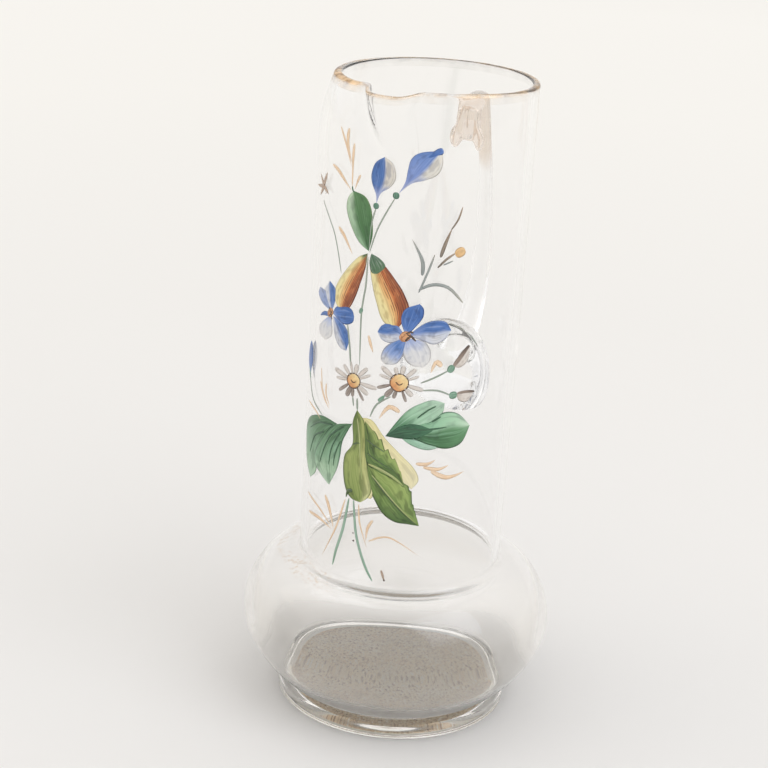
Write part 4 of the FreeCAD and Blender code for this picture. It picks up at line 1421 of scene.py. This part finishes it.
def enamel_pieces():
    """Every painted motif, from the paints that they share."""
    palette = blue_paints() | green_paints() | olive_paints() | warm_paints()
    for node, strokes in (UPPER_MOTIFS | LOWER_MOTIFS | thin_lines()).items():
        painted_piece("painted_" + node, strokes, palette, node)


# Floor, light and camera: places and sizes are in metres, and the camera's sensor in millimetres

floor_radius = 8.0
floor_corners = 128

camera_azimuth = 22.88
camera_elevation = 19.97
camera_roll = 3.58
camera_place = (0.2514, -0.6221, 0.373)
image_width = 768
focal_pixels = 1848
sensor_width = 36.0

# Strength of the surroundings: the light they give, then how bright they look, less so where the room is
sky_light = 0.90
sky_sight = 1.0
room_sight = 0.86
room_direction = (0.37, -0.92, 0.1)

# Soft lamps: name, place, what it shines at, watts and colour
lamp_side = 2.4
LAMPS = (
    ("window_light", (2.1, -0.6, 2.3), (0.1, 0, 0.1), 23.5, "f2f6ff"),
    ("fill_light", (-2.2, -0.8, 2.2), (0, 0, 0.12), 8.2, "fff7ed"),
)

# Light that is led along inside the glass needs many bounces, or the edges turn black
light_bounces = 48


def lay_floor():
    """Round floor that reaches out of sight."""
    bm = bmesh.new()
    bmesh.ops.create_circle(bm, cap_ends=True, segments=floor_corners, radius=floor_radius)
    floor = mesh_object("floor", bm)
    floor.data.materials.append(pale_ground())


def light_sky():
    """Even white surroundings: gentler for the light that they give than for what is seen of them."""
    world = bpy.data.worlds.new("studio_sky")
    bpy.context.scene.world = world
    world.use_nodes = True
    world.node_tree.nodes.clear()
    add = partial(add_node, world.node_tree)
    seen, glossy, transmitted = [
        add("LightPath", output="Is %s Ray" % kind) for kind in ("Camera", "Glossy", "Transmission")]
    for clear in (glossy, transmitted):
        seen = add("Math", [seen, clear], operation="MAXIMUM")
    direction = add("TexCoord")
    towards = add("VectorMath", [direction, room_direction], output="Value", operation="DOT_PRODUCT")
    sight = add("MapRange", [towards, 0.1, 0.9, sky_sight, room_sight], **SMOOTH)
    extra = add("Math", [sight, sky_light], operation="SUBTRACT")
    strength = add("Math", [seen, extra, sky_light], operation="MULTIPLY_ADD")
    add("OutputWorld", [add("Background", [linear("fffefd"), strength])])


def soft_lamp(name, place, target, watts, colour):
    """Large square lamp turned towards a target."""
    data = bpy.data.lights.new(name, "AREA")
    data.shape = "SQUARE"
    data.size = lamp_side
    data.energy = watts
    data.color = linear(colour)[:3]
    lamp = new_object(name, data)
    lamp.location = place
    lamp.rotation_euler = (Vector(target) - Vector(place)).to_track_quat("-Z", "Y").to_euler()


def set_camera():
    """Camera solved from the rings of the foot, bulb, neck and rim in the photograph."""
    data = bpy.data.cameras.new("camera")
    data.sensor_width = sensor_width
    data.lens = sensor_width * focal_pixels / image_width
    camera = new_object("camera", data)
    turn = Matrix.Rotation(math.radians(camera_azimuth), 4, "Z")
    tilt = Matrix.Rotation(math.radians(90 - camera_elevation), 4, "X")
    roll = Matrix.Rotation(math.radians(camera_roll), 4, "Z")
    camera.matrix_world = Matrix.Translation(camera_place) @ turn @ tilt @ roll
    bpy.context.scene.camera = camera


# Scene

scene = bpy.context.scene
scene.view_settings.view_transform = "Standard"
scene.cycles.max_bounces = light_bounces
scene.cycles.transmission_bounces = light_bounces
scene.cycles.glossy_bounces = light_bounces
set_camera()
lay_floor()
light_sky()
for lamp in LAMPS:
    soft_lamp(*lamp)

body_glass = soda_lime_glass("blown_soda_lime_glass", shoulder_grime)
body_piece(body_glass)
foot_piece(body_glass)
grit_piece(speckled_backing())
handle_piece(soda_lime_glass("drawn_soda_lime_glass", root_grime))
gilding_piece(worn_gilding())
enamel_pieces()
